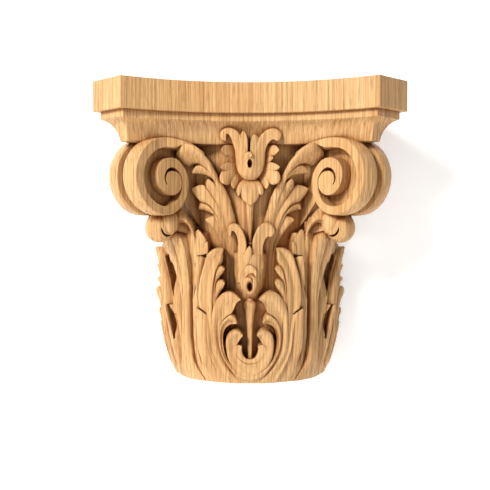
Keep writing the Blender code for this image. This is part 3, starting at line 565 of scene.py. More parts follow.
# Leaves round the upper flower, drawn the same way: shape, drop at the edges, lifts, edges
FLOWER_LEAVES = (
    (
        ROUND, (1.2, 2.4), (-2.4, 2.2),
        ((-8, 221.5), (-12, 221.2), (-16, 221), (-20, 222.2), (-22.8, 225.6)),
        ((-8, 229), (-12, 229), (-16.5, 229), (-20.5, 228.4), (-22.8, 225.6)),
    ),
    (
        ROUND, (1.2, 2.8), (-2, 3.2),
        ((-8, 224), (-13, 225), (-19, 226.4), (-24.2, 228.4), (-28.6, 233)),
        ((-8, 234), (-13, 237), (-19, 238.6), (-25, 237.8), (-28.6, 233)),
    ),
    (
        ROUND, (1, 2.4), (-2.4, 1.8),
        ((-6, 213), (-12, 213.6), (-18, 213.8), (-24, 213.6), (-27, 214.2), (-29.3, 216.6)),
        ((-6, 222), (-12, 222.4), (-18, 222.2), (-23.5, 220.8), (-27, 218.7), (-29.3, 216.6)),
    ),
    (
        ROUND, (1.2, 3.4), (-3.2, 3.2),
        ((-5, 212), (-10, 210.4), (-14.5, 207.6), (-17.6, 204), (-19.2, 201.4), (-21, 200), (-24, 199.6)),
        ((-8, 221), (-14, 220.4), (-20, 218.4), (-25, 215.2), (-28.6, 210.8), (-29.8, 205.8),
         (-28.4, 201.6), (-24, 199.6)),
    ),
    (
        ROUND, (1.2, 2.8), (-3, 1.6),
        ((0, 205), (-3, 204.6), (-6, 203.2), (-9, 200.4), (-12.5, 197), (-16.4, 195.4)),
        ((-5, 216), (-11, 213.6), (-15.6, 209.4), (-18, 204.4), (-18.8, 199.6), (-16.4, 195.4)),
    ),
)
CALYX = (
    (
        ROUND, (1.4, 2.8), (0, 1.6),
        ((-4, 208), (-8, 201), (-8.9, 192.5), (-7.6, 186), (-4.2, 182), (0.8, 179.2)),
        ((4, 208), (8.5, 201), (9.4, 192), (7.6, 186), (4.4, 182), (0.8, 179.2)),
    ),
    (
        ROUND, (1, 1.8), (-1, 0.8),
        ((-5, 207), (-10, 202), (-12.9, 196.5), (-13.2, 191.5), (-11.2, 188.4)),
        ((-1, 206), (-4, 200), (-7, 195), (-9, 191), (-11.2, 188.4)),
    ),
)
FLOWER_LEAF_FRONT = ((0, 90), (8, 92), (14, 95.5), (20, 98.6), (25, 100.8), (30, 102))
CALYX_FRONT = ((179, 98), (185, 99.8), (191, 99.4), (198, 97.4), (205, 93.5), (212, 88))
FLOWER_LEAF_ROOT = 70.0

# Stems: height, half width, front; then the bead on the upper one: its middle and half sizes
UPPER_STEM = (
    (128, 2, 84), (141, 2, 84.5), (147, 2, 84.5), (160, 2.7, 86), (178, 3.7, 92), (195, 4.2, 95),
)
LOWER_STEM = (
    (16, 2.1, 86.5), (40, 2.4, 86.5), (52, 2.9, 87), (60, 3.3, 87.5), (68, 4, 88.5), (74, 4.9, 89.5),
    (78, 5.8, 90.2), (80.6, 6.1, 90.6), (82.2, 5.7, 90.2), (82.7, 4.6, 88.6), (83.1, 3.2, 86), (86, 3, 85),
)
STEM_ROOT = 68.0
STEM_STATIONS = 40
STEM_COLUMNS = 11
STEM_BEAD = ((0, 84, 141), (2.6, 3.4, 2.1))

# How far the block that keeps the front half reaches past the carving, mm
CUT_MARGIN = 30.0

# Oak: place of the upright pith and width of a ring in metres, wander of the rings in ring widths, then
# ramps of (value, colour) and the strength of each layer
OAK_PITH = (-0.46, -0.02)
OAK_RING = 0.0042
OAK_WANDER = 9.0
WHITE = (1.0, 1.0, 1.0)
OAK_GRAIN = ((0.28, (0.38, 0.2, 0.075)), (0.5, (0.585, 0.345, 0.148)), (0.7, (0.69, 0.435, 0.205)))
OAK_BAND = ((0.3, (0.72, 0.6, 0.48)), (0.6, WHITE))
OAK_RING_TONES = (
    (0.0, (0.25,) * 3), (0.12, (0.75,) * 3), (0.7, WHITE), (0.9, (0.6,) * 3), (1.0, (0.25,) * 3),
)
OAK_PORES = ((0.33, (0.0,) * 3), (0.43, WHITE))
BAND_STRENGTH = 0.5
RING_STRENGTH = 0.3
PORE_STRENGTH = 0.34
# Noises of the grain: scale across, in depth and along it, detail, roughness
WANDER_NOISE = ((9.0, 9.0, 1.6), 2.0, 0.5)
STREAK_NOISE = ((800.0, 110.0, 9.0), 3.0, 0.6)
BAND_NOISE = ((45.0, 16.0, 2.4), 2.0, 0.5)
FLECK_NOISE = ((1500.0, 180.0, 60.0), 2.0, 0.5)
# Painted shade in the recesses and the narrow creases: how far the occlusion looks for wood, tones by
# openness
OAK_PAINTED_SHADE = (
    (0.018, ((0.15, (0.88, 0.78, 0.68)), (0.8, WHITE))),
    (0.006, ((0.45, (0.6, 0.42, 0.3)), (0.88, WHITE))),
)
OCCLUSION_SAMPLES = 8
# Roughness of the dark and of the pale streaks, and the bump: strength, height in metres, shares
ROUGHNESS = (0.58, 0.42)
SPECULAR = 0.2
BUMP_STRENGTH = 0.35
BUMP_HEIGHT = 0.0002
BUMP_PORES = 0.6
BUMP_STREAKS = 0.4
# Where an added stop of a ramp starts, and the colour sockets of a mix node
NEW_STOP = 0.5
MIX_FIRST = 6
MIX_SECOND = 7
MIX_RESULT = 2
# Edges that turn by more than this stay sharp in the smooth shading, degrees
SHARP_ANGLE = 38.0

# Stage: half width, place of the wall and of the floor in metres, then tone, roughness and glow
STAGE_SPAN = 3.0
STAGE_WALL = 0.0765
STAGE_FLOOR = -0.3
STAGE_TONE = 0.9
STAGE_ROUGHNESS = 0.9
STAGE_GLOW = 0.33

# Lights: name, place, size, power, colour; they face one point in the capital
LIGHTS = (
    ("key", (-1.1, -1.55, 1.15), 0.6, 59.0, (1.0, 0.97, 0.93)),
    ("fill", (0.9, -1.6, 0.2), 1.2, 0.5, WHITE),
)
LIGHT_TARGET = (0.0, 0.0, 0.15)
WORLD_STRENGTH = 0.18

# Camera: lens and sensor in mm, distance from the column's axis and height in metres, tilt down and turn
# in degrees
LENS = 56.57
SENSOR = 36.0
CAMERA_DISTANCE = 0.8556
CAMERA_HEIGHT = 0.1587
CAMERA_TILT = 1.4
CAMERA_TURN = 0.37

scene = bpy.context.scene
# Axes of a ball that stands upright in the face plane
UPRIGHT_AXES = (Vector((1.0, 0.0, 0.0)), Vector((0.0, 1.0, 0.0)), Vector((0.0, 0.0, 1.0)))
# Mirror from the right to the left, and swap of front and side about the right-hand corner
MIRROR = Matrix.Diagonal((-1.0, 1.0, 1.0, 1.0))
SWAP = Matrix(((0, -1, 0, AXIS_Y * MM), (-1, 0, 0, AXIS_Y * MM), (0, 0, 1, 0), (0, 0, 0, 1)))


def interpolate(table, key, column=1):
    """Straight-line value from a table whose rows start with the key."""
    return float(np.interp(key, [row[0] for row in table], [row[column] for row in table]))


def hermite(points, scale=1.0):
    """Fine polyline along a smooth curve through unevenly spaced points, and the way along it."""
    points = np.array(points, dtype=float)
    gaps = np.linalg.norm(np.diff(points, axis=0) * scale, axis=1)
    slopes = np.diff(points, axis=0) / gaps[:, None]
    tangents = np.empty_like(points)
    tangents[0] = slopes[0]
    tangents[-1] = slopes[-1]
    before, after = gaps[:-1, None], gaps[1:, None]
    tangents[1:-1] = (slopes[:-1] * after + slopes[1:] * before) / (before + after)
    t = np.linspace(0.0, 1.0, LINE_FINENESS, endpoint=False)[:, None]
    rows = []
    for index, gap in enumerate(gaps):
        start, end = points[index], points[index + 1]
        rows.append(
            start * (2 * t ** 3 - 3 * t ** 2 + 1)
            + tangents[index] * gap * (t ** 3 - 2 * t ** 2 + t)
            + end * (3 * t ** 2 - 2 * t ** 3)
            + tangents[index + 1] * gap * (t ** 3 - t ** 2)
        )
    line = np.vstack(rows + [points[-1:]])
    way = np.concatenate(([0.0], np.cumsum(np.linalg.norm(np.diff(line, axis=0) * scale, axis=1))))
    return line, way


def points_at(line, way, places):
    """Points of a polyline at the given lengths along it."""
    return np.stack([np.interp(places, way, column) for column in line.T], axis=-1)


def column_point(turn, height, radius):
    """Column coordinates of a point given by its turn from the front."""
    angle = math.radians(turn)
    return Vector((radius * math.sin(angle), radius * math.cos(angle), height))


def corner_point(across, height, reach):
    """Column coordinates of a point in the frame of the right-hand corner."""
    half = math.sqrt(0.5)
    return Vector(((reach + across) * half, (reach - across) * half, height))


def face_point(x, height, forward):
    """Column coordinates of a point drawn in the plane of the front face."""
    return Vector((x, forward, height))


def add_object(name, data, group):
    """Object with its data, linked to a collection."""
    obj = bpy.data.objects.new(name, data)
    group.objects.link(obj)
    return obj


def add_solid(group, verts, faces):
    """Object from column coordinates, with its faces turned outward."""
    mesh = bpy.data.meshes.new("part")
    mesh.from_pydata([(v[0] * MM, (AXIS_Y - v[1]) * MM, v[2] * MM) for v in verts], [], faces)
    bm = bmesh.new()
    bm.from_mesh(mesh)
    bmesh.ops.recalc_face_normals(bm, faces=bm.faces)
    bm.to_mesh(mesh)
    bm.free()
    return add_object("part", mesh, group)


def loft(group, rings):
    """Closed solid through rings that all have the same number of points."""
    size = len(rings[0])
    verts = [point for ring in rings for point in ring]
    faces = [tuple(range(size)), tuple(range(len(verts) - size, len(verts)))]
    for base in range(0, len(verts) - size, size):
        for index in range(size):
            after = (index + 1) % size
            faces.append((base + index, base + after, base + size + after, base + size + index))
    return add_solid(group, verts, faces)


def front_prism(group, outline, low, high):
    """Solid between two depths, from an outline of (x, height) seen from the front."""
    rings = [[face_point(x, height, forward) for x, height in outline] for forward in (low, high)]
    return loft(group, rings)


def corner_prism(group, outline, low, high):
    """Solid between two planes across the corner, from an outline of (reach, height)."""
    rings = [[corner_point(across, height, reach) for reach, height in outline] for across in (low, high)]
    return loft(group, rings)


def make_strip(group, strip, place, scale, front, back, step, overlap=0.0):
    """Carved strip between two edge lines, raised off a front surface and closed behind.

    place puts (u, height, out) in column coordinates, front gives out for (u, height), back takes a
    point of the front to its place behind, and scale turns u and height into mm along the surface.
    overlap widens the strip by that many mm at its root, so that neighbours run into each other.
    """
    shape, crests, lifts, left, right = strip
    scale = np.array(scale)
    line_l, way_l = hermite(left, scale)
    line_r, way_r = hermite(right, scale)
    count = max(STRIP_LEAST, int(max(way_l[-1], way_r[-1]) / step))
    shares = 1.0 - (1.0 - np.linspace(0.0, STRIP_END, count)) ** STRIP_CROWDING
    edge_l = points_at(line_l, way_l, shares * way_l[-1])
    edge_r = points_at(line_r, way_r, shares * way_r[-1])
    spans = (edge_l - edge_r) * scale
    widths = np.linalg.norm(spans, axis=1)
    widening = spans / np.maximum(widths, STRIP_NARROW)[:, None] / scale
    widening = widening * (overlap * (1.0 - shares))[:, None]
    edge_l, edge_r = edge_l + widening, edge_r - widening
    full = np.percentile(widths, STRIP_FULL)
    profile, _ = hermite(shape)
    across = 0.5 - 0.5 * np.cos(np.linspace(0.0, math.pi, FINGER_COLUMNS))
    heights = np.interp(across, profile[:, 0], profile[:, 1])
    rings = []
    for share, point_l, point_r, width in zip(shares, edge_l, edge_r, widths):
        grown = min(1.0, max(0.0, (share - GROWTH_START) / (GROWTH_END - GROWTH_START)))
        crest = crests[0] + (crests[1] - crests[0]) * grown
        drop = crest * min(1.0, width / full) * foot_fade(point_l[1], place)
        rise = lifts[0] + (lifts[1] - lifts[0]) * share ** 2
        rise -= TIP_DROP * max(0.0, (share - TIP_SHARE) / (1.0 - TIP_SHARE)) ** 2
        ring = []
        for v, height in zip(across, heights):
            u, z = point_l + (point_r - point_l) * v
            ring.append(place(u, z, front(u, z) + rise - drop * (1.0 - height)))
        rings.append(ring + [back(ring[index]) for index in (-1, FINGER_COLUMNS // 2, 0)])
    return loft(group, rings)


def foot_fade(height, place):
    """How much of a groove's depth is left near the leaf's foot."""
    if place is not column_point:
        return 1.0
    return min(1.0, FOOT_SHARE + (1.0 - FOOT_SHARE) * max(0.0, height) / FOOT_HEIGHT)


def straight_back(point):
    """Point straight behind one of the front, where the bell hides it or at the finger's depth."""
    bell = math.sqrt(max(FINGER_ROOT ** 2 - point.x ** 2, interpolate(FINGER_LEAST, point.z) ** 2))
    return Vector((point.x, max(bell, point.y - interpolate(FINGER_DEPTH, point.z)), point.z))


def make_fingers(group, fingers, surface):
    """All fingers of a leaf or frond."""
    made = []
    for key, finger in fingers.items():
        floor = FINGER_FLOORS.get(key, LEVEL_FLOOR)

        def front(turn, height, floor=floor):
            return interpolate(surface, height) + interpolate(floor, height)

        made.append(make_strip(
            group, finger, column_point, (MM_PER_DEGREE, 1.0), front, straight_back, FINGER_STEP,
            FINGER_OVERLAP,
        ))
    return made


def make_blade(group):
    """Blade of the leaf, which closes the ground behind its fingers."""
    rings = []
    for height in np.linspace(BLADE[0][0], BLADE[-1][0], BLADE_STATIONS):
        span = interpolate(BLADE, height)
        outer = interpolate(LEAF, height) - interpolate(BLADE, height, 2)
        turns = [CORNER_TURN + span * (2 * index / BLADE_STEPS - 1) for index in range(BLADE_STEPS + 1)]
        ring = [column_point(turn, height, outer) for turn in turns]
        ring += [column_point(turn, height, FINGER_ROOT) for turn in (turns[-1], CORNER_TURN, turns[0])]
        rings.append(ring)
    return loft(group, rings)


def make_rib(group):
    """Middle rib: a rounded ridge that opens into two beside a vein towards its tip."""
    line, _ = hermite(RIB, np.array(RIB_SCALE))
    across = np.sin(np.linspace(-0.5 * math.pi, 0.5 * math.pi, RIB_COLUMNS))
    rings = []
    for height in np.linspace(RIB[0][0], RIB[-1][0], RIB_STATIONS):
        half, edge, crest = (interpolate(line, height, column) for column in (1, 2, 3))
        vein = interpolate(RIB_VEIN, height)
        ring = []
        for share in across:
            reach = edge + (crest - edge) * (1.0 - abs(share) ** RIB_CROWN)
            reach -= vein * math.exp(-abs(share * half / RIB_VEIN_WIDTH) ** RIB_VEIN_FLANK)
            ring.append(corner_point(share * half, height, reach))
        ring += [corner_point(share * half, height, FINGER_ROOT) for share in RIB_ROOT]
        rings.append(ring)
    return loft(group, rings)


def make_round(group, centre, axes, sizes, detail):
    """Ball with half sizes along three axes; its detail counts the segments and the rows."""
    bm = bmesh.new()
    bmesh.ops.create_uvsphere(bm, u_segments=detail[0], v_segments=detail[1], radius=1.0)
    verts = []
    for vert in bm.verts:
        offsets = (axis * (vert.co[k] * sizes[k]) for k, axis in enumerate(axes))
        verts.append(centre + sum(offsets, Vector()))
    faces = [[vert.index for vert in face.verts] for face in bm.faces]
    bm.free()
    return add_solid(group, verts, faces)


def make_leaf_tip(group):
    """Rolled tip of the leaf: one ball in the middle and one at each side."""
    axes = (corner_point(0.0, 0.0, 1.0), corner_point(1.0, 0.0, 0.0), UPRIGHT_AXES[2])
    made = []
    for (reach, across, height), sizes in LEAF_TIPS:
        centre = corner_point(across, height, reach)
        made.append(make_round(group, centre, axes, sizes, TIP_DETAIL))
    return made


def make_hood(group):
    """Hood over the hollow beside the rib, and the wood behind it."""
    lines = [hermite(HOOD_RIM), hermite(HOOD_OUTLINE)]
    centre = Vector((HOOD_CENTRE[0], 0.0, HOOD_CENTRE[1]))
    rings = []
    for share in np.linspace(0.0, 1.0, HOOD_STATIONS):
        pairs = [points_at(line, way, share * way[-1]) for line, way in lines]
        near, far = (face_point(x, height, 0.0) for x, height in pairs)
        ring = []
        for part, forward in HOOD_SECTION:
            point = near.lerp(far, part) if part >= 0.0 else near.lerp(centre, -part)
            ring.append(face_point(point.x, point.z, forward))
        rings.append(ring)
    hood = loft(group, rings)
    rim = lines[0][0][::HOOD_FILL_EVERY]
    fill = [face_point(x, height, 0.0).lerp(centre, HOOD_FILL_INSET) for x, height in rim]
    return [hood, front_prism(group, [(p.x, p.z) for p in fill], *HOOD_FILL_FORWARD)]


def make_band_end(group):
    """End of the volute's outer band, which comes forward under the abacus to meet the frond."""
    line, _ = hermite(BAND_END)
    rings = []
    for x, low, high, forward in line[::BAND_EVERY]:
        edge = forward - BAND_BEVEL_DEPTH
        section = (
            (low, edge), (low + BAND_BEVEL, forward), (high - BAND_BEVEL, forward), (high, edge),
            (high, BAND_END_ROOT), (low, BAND_END_ROOT),
        )
        rings.append([face_point(x, height, out) for height, out in section])
    return loft(group, rings)


def make_eye(group, rows):
    """Cutter for a hollow between a pipe's rim and the finger beside it, reaching under the rim."""
    rings = []
    for height, rim, side, lip in rows:
        share = min(1.0, (height - rows[0][0]) / EYE_TAPER)
        section = []
        for turn, rise in EYE_SECTION:
            radius = lip + rise
            section.append((rim + turn * share, radius + (1.0 - share) * max(0.0, EYE_SHALLOW - radius)))
        floor = EYE_FLOOR + (1.0 - share) * (EYE_SHALLOW - EYE_FLOOR)
        section += [(side - EYE_FOOT * share, floor), (side, floor + EYE_SIDE), (side, section[0][1])]
        rings.append([column_point(turn, height, radius) for turn, radius in section])
    return loft(group, rings)


def turned(group, profile, axis, steps):
    """Solid of revolution about an upright line at distance axis in front of the column's axis."""
    verts = []
    keys = {}
    faces = []

    def vert(ring, row):
        height, radius = profile[row]
        key = (row, 0 if radius == 0.0 else ring % steps)
        if key not in keys:
            keys[key] = len(verts)
            angle = 2 * math.pi * key[1] / steps
            verts.append((radius * math.sin(angle), axis + radius * math.cos(angle), height))
        return keys[key]

    for ring in range(steps):
        for row in range(len(profile) - 1):
            corners = [vert(ring, row), vert(ring + 1, row), vert(ring + 1, row + 1), vert(ring, row + 1)]
            faces.append(list(dict.fromkeys(corners)))
    return add_solid(group, verts, faces)


def smooth_profile(profile):
    """Evenly spaced points along a smooth line through a turned profile that is closed at both ends."""
    line, way = hermite(profile)
    places = np.linspace(0.0, way[-1], int(way[-1] / CUP_STEP))
    rows = [(height, max(0.0, radius)) for height, radius in points_at(line, way, places)]
    rows[0] = (rows[0][0], 0.0)
    rows[-1] = (rows[-1][0], 0.0)
    return rows


def make_bell(group):
    """Bell that all the carving grows out of."""
    profile = ((BELL[0][0], 0.0),) + BELL + ((BELL[-1][0], 0.0),)
    return turned(group, profile, 0.0, BELL_STEPS)


def abacus_side(inset):
    """One concave side of the abacus from corner to corner, seen from above."""
    radius = (ABACUS_CORNER ** 2 + ABACUS_SAG ** 2) / (2 * ABACUS_SAG)
    centre = DEPTH - ABACUS_SAG + radius
    radius += inset
    gap = centre - (ABACUS_CORNER + DEPTH - inset * math.sqrt(2))
    corner = (math.sqrt(2 * radius ** 2 - gap ** 2) - gap) / 2
    reach = math.asin(corner / radius)
    angles = [reach * (2 * index / ARC_STEPS - 1) for index in range(ARC_STEPS + 1)]
    return [(radius * math.sin(angle), centre - radius * math.cos(angle)) for angle in angles]


def make_abacus(group):
    """Abacus with four concave sides and cut corners, and the mouldings down its edge."""
    rings = []
    for height, inset in ABACUS_LEVELS:
        ring = []
        for quarter in range(4):
            turn = math.radians(90.0 * quarter)
            cosine, sine = math.cos(turn), math.sin(turn)
            ring += [(x * cosine + f * sine, f * cosine - x * sine, height) for x, f in abacus_side(inset)]
        rings.append(ring)
    return loft(group, rings)


def scroll_radius(table, start_value, turn):
    """Smooth distance of a scroll edge from the eye at a turn round it."""
    rows = [(SCROLL_START, start_value)]
    rows += [(index * SCROLL_STEP, value) for index, value in enumerate(table)]
    for index in range(len(rows) - 1):
        if turn <= rows[index + 1][0]:
            break
    turn_1, value_1 = rows[index]
    turn_2, value_2 = rows[index + 1]
    value_0 = rows[max(index - 1, 0)][1]
    value_3 = rows[min(index + 2, len(rows) - 1)][1]
    t = (turn - turn_1) / (turn_2 - turn_1)
    slope_1 = (value_2 - value_0) / 2
    slope_2 = (value_3 - value_1) / 2
    rise = value_2 - value_1
    square = 3 * rise - 2 * slope_1 - slope_2
    cube = slope_1 + slope_2 - 2 * rise
    return value_1 + slope_1 * t + square * t ** 2 + cube * t ** 3


def scroll_point(radius, turn):
    """Reach and height of a point of the scroll given by its turn round the eye."""
    angle = math.radians(turn)
    return (VOLUTE_EYE_REACH + radius * math.sin(angle), VOLUTE_EYE_HEIGHT + radius * math.cos(angle))


def outer_edge(turn):
    """Distance of the band's outer edge from the eye."""
    return scroll_radius(SCROLL_OUTER, SCROLL_START_OUTER, turn)


def inner_edge(turn):
    """Distance of the band's inner edge from the eye."""
    return scroll_radius(SCROLL_INNER, SCROLL_START_INNER, turn)


def make_volute(group, cutters):
    """Corner volute: a disc with a spiral groove cut into both faces, its neck and its springs."""
    turns = np.linspace(SCROLL_FIRST, SCROLL_END, SCROLL_STATIONS)
    levels = [(-across, inset, swell) for across, inset, swell in VOLUTE_RIM] + list(reversed(VOLUTE_RIM))
    rings = []
    for across, inset, swell in levels:
        ring = []
        for turn in turns:
            outward = swell * math.sin(math.radians(min(max(turn, 0.0), 180.0))) ** 2
            reach, height = scroll_point(outer_edge(turn) - inset + outward, turn)
            ring.append(corner_point(across, height, reach))
        rings.append(ring)
    disc = loft(group, rings)
    groove = []
    for turn in np.linspace(GROOVE_START, GROOVE_END, GROOVE_STATIONS):
        outer = inner_edge(turn)
        inner = min(outer_edge(turn + 360.0), outer - GROOVE_LEAST)
        groove.append((scroll_point(outer, turn), scroll_point(inner, turn)))
    face = VOLUTE_RIM[0][0]
    floor = face - VOLUTE_RECESS
    for low, high in ((floor, face + GROOVE_REACH), (-face - GROOVE_REACH, -floor)):
        rings = []
        for outer, inner in groove:
            corners = ((low, outer), (high, outer), (high, inner), (low, inner))
            rings.append([corner_point(across, height, reach) for across, (reach, height) in corners])
        loft(cutters, rings)
    combine(disc, cutters, 'DIFFERENCE')
    made = [disc, corner_prism(group, VOLUTE_NECK, -VOLUTE_NECK_HALF, VOLUTE_NECK_HALF)]
    for low, high in ((floor, face - SPRING_INSET), (SPRING_INSET - face, -floor)):
        made.append(corner_prism(group, VOLUTE_SPRING, low, high))
    return made


def combine(obj, operands, operation):
    """Boolean of an object with a whole collection."""
    step = obj.modifiers.new("shape", 'BOOLEAN')
    step.operation = operation
    step.solver = 'MANIFOLD'
    step.operand_type = 'COLLECTION'
    step.collection = operands
    graph = bpy.context.evaluated_depsgraph_get()
    mesh = bpy.data.meshes.new_from_object(obj.evaluated_get(graph))
    obj.modifiers.clear()
    obj.data = mesh


def make_petal(group, strip, front, back):
    """Carved strip drawn in the plane of the front face."""
    return make_strip(group, strip, face_point, (1.0, 1.0), front, back, PETAL_STEP)


def make_flower(group, cutters, flower):
    """Tulip-shaped flower: a cup with curled petals, a scroll on its front and a pierced eye."""
    drop, width = flower["fall"]

    def front(x, height):
        return interpolate(flower["front"], height) - drop * (1.0 - math.exp(-(x / width) ** 2))

    def back(point):
        return Vector((point.x, point.y - PETAL_THICKNESS, point.z))

    made = [turned(group, smooth_profile(flower["cup"]), flower["axis"], CUP_SIDES)]
    for strip in flower["petals"] + flower["scroll"]:
        made.append(make_petal(group, strip, front, back))
    x, height, half_x, half_z = flower["hole"]
    centre = Vector((x, front(x, height), height))
    hole = make_round(cutters, centre, UPRIGHT_AXES, (half_x, HOLE_REACH, half_z), HOLE_DETAIL)
    return made, hole


def make_stem(group, rows):
    """Upright stem, rounded in front and rooted in the bell."""
    line, _ = hermite(rows)
    rings = []
    for height in np.linspace(rows[0][0], rows[-1][0], STEM_STATIONS):
        half, front = (interpolate(line, height, column) for column in (1, 2))
        ring = [Vector((-half, STEM_ROOT, height))]
        for angle in np.linspace(-0.5 * math.pi, 0.5 * math.pi, STEM_COLUMNS):
            ring.append(Vector((half * math.sin(angle), front - half + half * math.cos(angle), height)))
        ring.append(Vector((half, STEM_ROOT, height)))
        rings.append(ring)
    return loft(group, rings)


def copy_mirrored(obj, group, matrix):
    """Copy of an object carried over by a mirroring matrix."""
    mesh = obj.data.copy()
    mesh.transform(matrix)
    mesh.flip_normals()
    return add_object("part", mesh, group)


def with_copies(objects, group, matrix):
    """The objects together with their mirrored copies."""
    return objects + [copy_mirrored(obj, group, matrix) for obj in objects]


def mirror_strips(strips):
    """The same strips on the other side of the middle."""
    return tuple(
        strip[:3] + tuple(tuple((-x, z) for x, z in edge) for edge in strip[3:])
        for strip in strips
    )


def make_corners(parts, cutters, holes):
    """Leaf, fronds and volute at both front corners, and cutters for the hollows in them."""
    half = make_fingers(parts, LEAF_FINGERS, LEAF) + make_fingers(parts, FROND_FINGERS, FROND)
    half += make_hood(parts) + [make_band_end(parts)]
    corner = with_copies(half, parts, SWAP)
    corner += [make_blade(parts), make_rib(parts)] + make_leaf_tip(parts) + make_volute(parts, cutters)
    with_copies(corner, parts, MIRROR)

    hollows = [make_eye(holes, rows) for rows in LEAF_EYES]
    hollows.append(front_prism(holes, HOOK, *HOOK_FORWARD))
    hollows += [front_prism(holes, outline, back, GAP_FRONT) for back, outline in PIPE_GAPS]
    with_copies(with_copies(hollows, holes, SWAP), holes, MIRROR)


def make_faces(parts, holes):
    """Flowers with their leaves and stems on the front, and the same on the two sides."""
    made = []
    pierced = []
    for flower in (UPPER_FLOWER, LOWER_FLOWER):
        pieces, hole = make_flower(parts, holes, flower)
        made += pieces
        pierced.append(hole)

    def leaf_front(x, height):
        return interpolate(FLOWER_LEAF_FRONT, abs(x))

    def calyx_front(x, height):
        return interpolate(CALYX_FRONT, height)

    def root(point):
        return Vector((point.x, FLOWER_LEAF_ROOT, point.z))

    leaves = [(strip, leaf_front) for strip in FLOWER_LEAVES + mirror_strips(FLOWER_LEAVES)]
    leaves += [(strip, calyx_front) for strip in CALYX + mirror_strips(CALYX[1:])]
    made += [make_petal(parts, strip, front, root) for strip, front in leaves]
    made += [make_stem(parts, UPPER_STEM), make_stem(parts, LOWER_STEM)]
    bead_centre, bead_sizes = STEM_BEAD
    made.append(make_round(parts, Vector(bead_centre), UPRIGHT_AXES, bead_sizes, BEAD_DETAIL))
    for group, objects in ((parts, made), (holes, pierced)):
        for obj in objects:
            copy_mirrored(copy_mirrored(obj, group, SWAP), group, MIRROR)


def make_carving():
    """The whole capital as one closed mesh, cut flat behind and below."""
    groups = [bpy.data.collections.new(name) for name in ("carving", "cutters", "holes", "block")]
    for group in groups:
        scene.collection.children.link(group)
    parts, cutters, holes, block = groups
    make_corners(parts, cutters, holes)
    make_faces(parts, holes)
    make_abacus(parts)
    far = DEPTH + CUT_MARGIN
    corners = ((-far, 0.0), (far, 0.0), (far, far), (-far, far))
    loft(block, [[(x, f, z) for x, f in corners] for z in (0.0, HEIGHT + CUT_MARGIN)])

    capital = make_bell(scene.collection)
    capital.name = "carved_capital"
    combine(capital, parts, 'UNION')
    combine(capital, holes, 'DIFFERENCE')
    combine(capital, block, 'INTERSECT')

    for group in groups:
        for obj in list(group.objects):
            bpy.data.objects.remove(obj)
        bpy.data.collections.remove(group)
    capital.data.shade_smooth()
    capital.data.set_sharp_from_angle(angle=math.radians(SHARP_ANGLE))
    return capital


def set_inputs(tree, node, inputs):
    """Give each named input of a shader node a value or a link from another node's output."""
    for key, value in inputs.items():
        if isinstance(value, bpy.types.NodeSocket):
            tree.links.new(value, node.inputs[key])
        else:
            node.inputs[key].default_value = value


def add_node(tree, kind, inputs, **settings):
    """Shader node with its inputs and settings."""
    node = tree.nodes.new(kind)
    for name, value in settings.items():
        setattr(node, name, value)
    set_inputs(tree, node, inputs)
    return node


def add_material(name):
    """Material with its node tree and its shader node."""
    material = bpy.data.materials.new(name)
    material.use_nodes = True
    return material, material.node_tree, material.node_tree.nodes["Principled BSDF"]


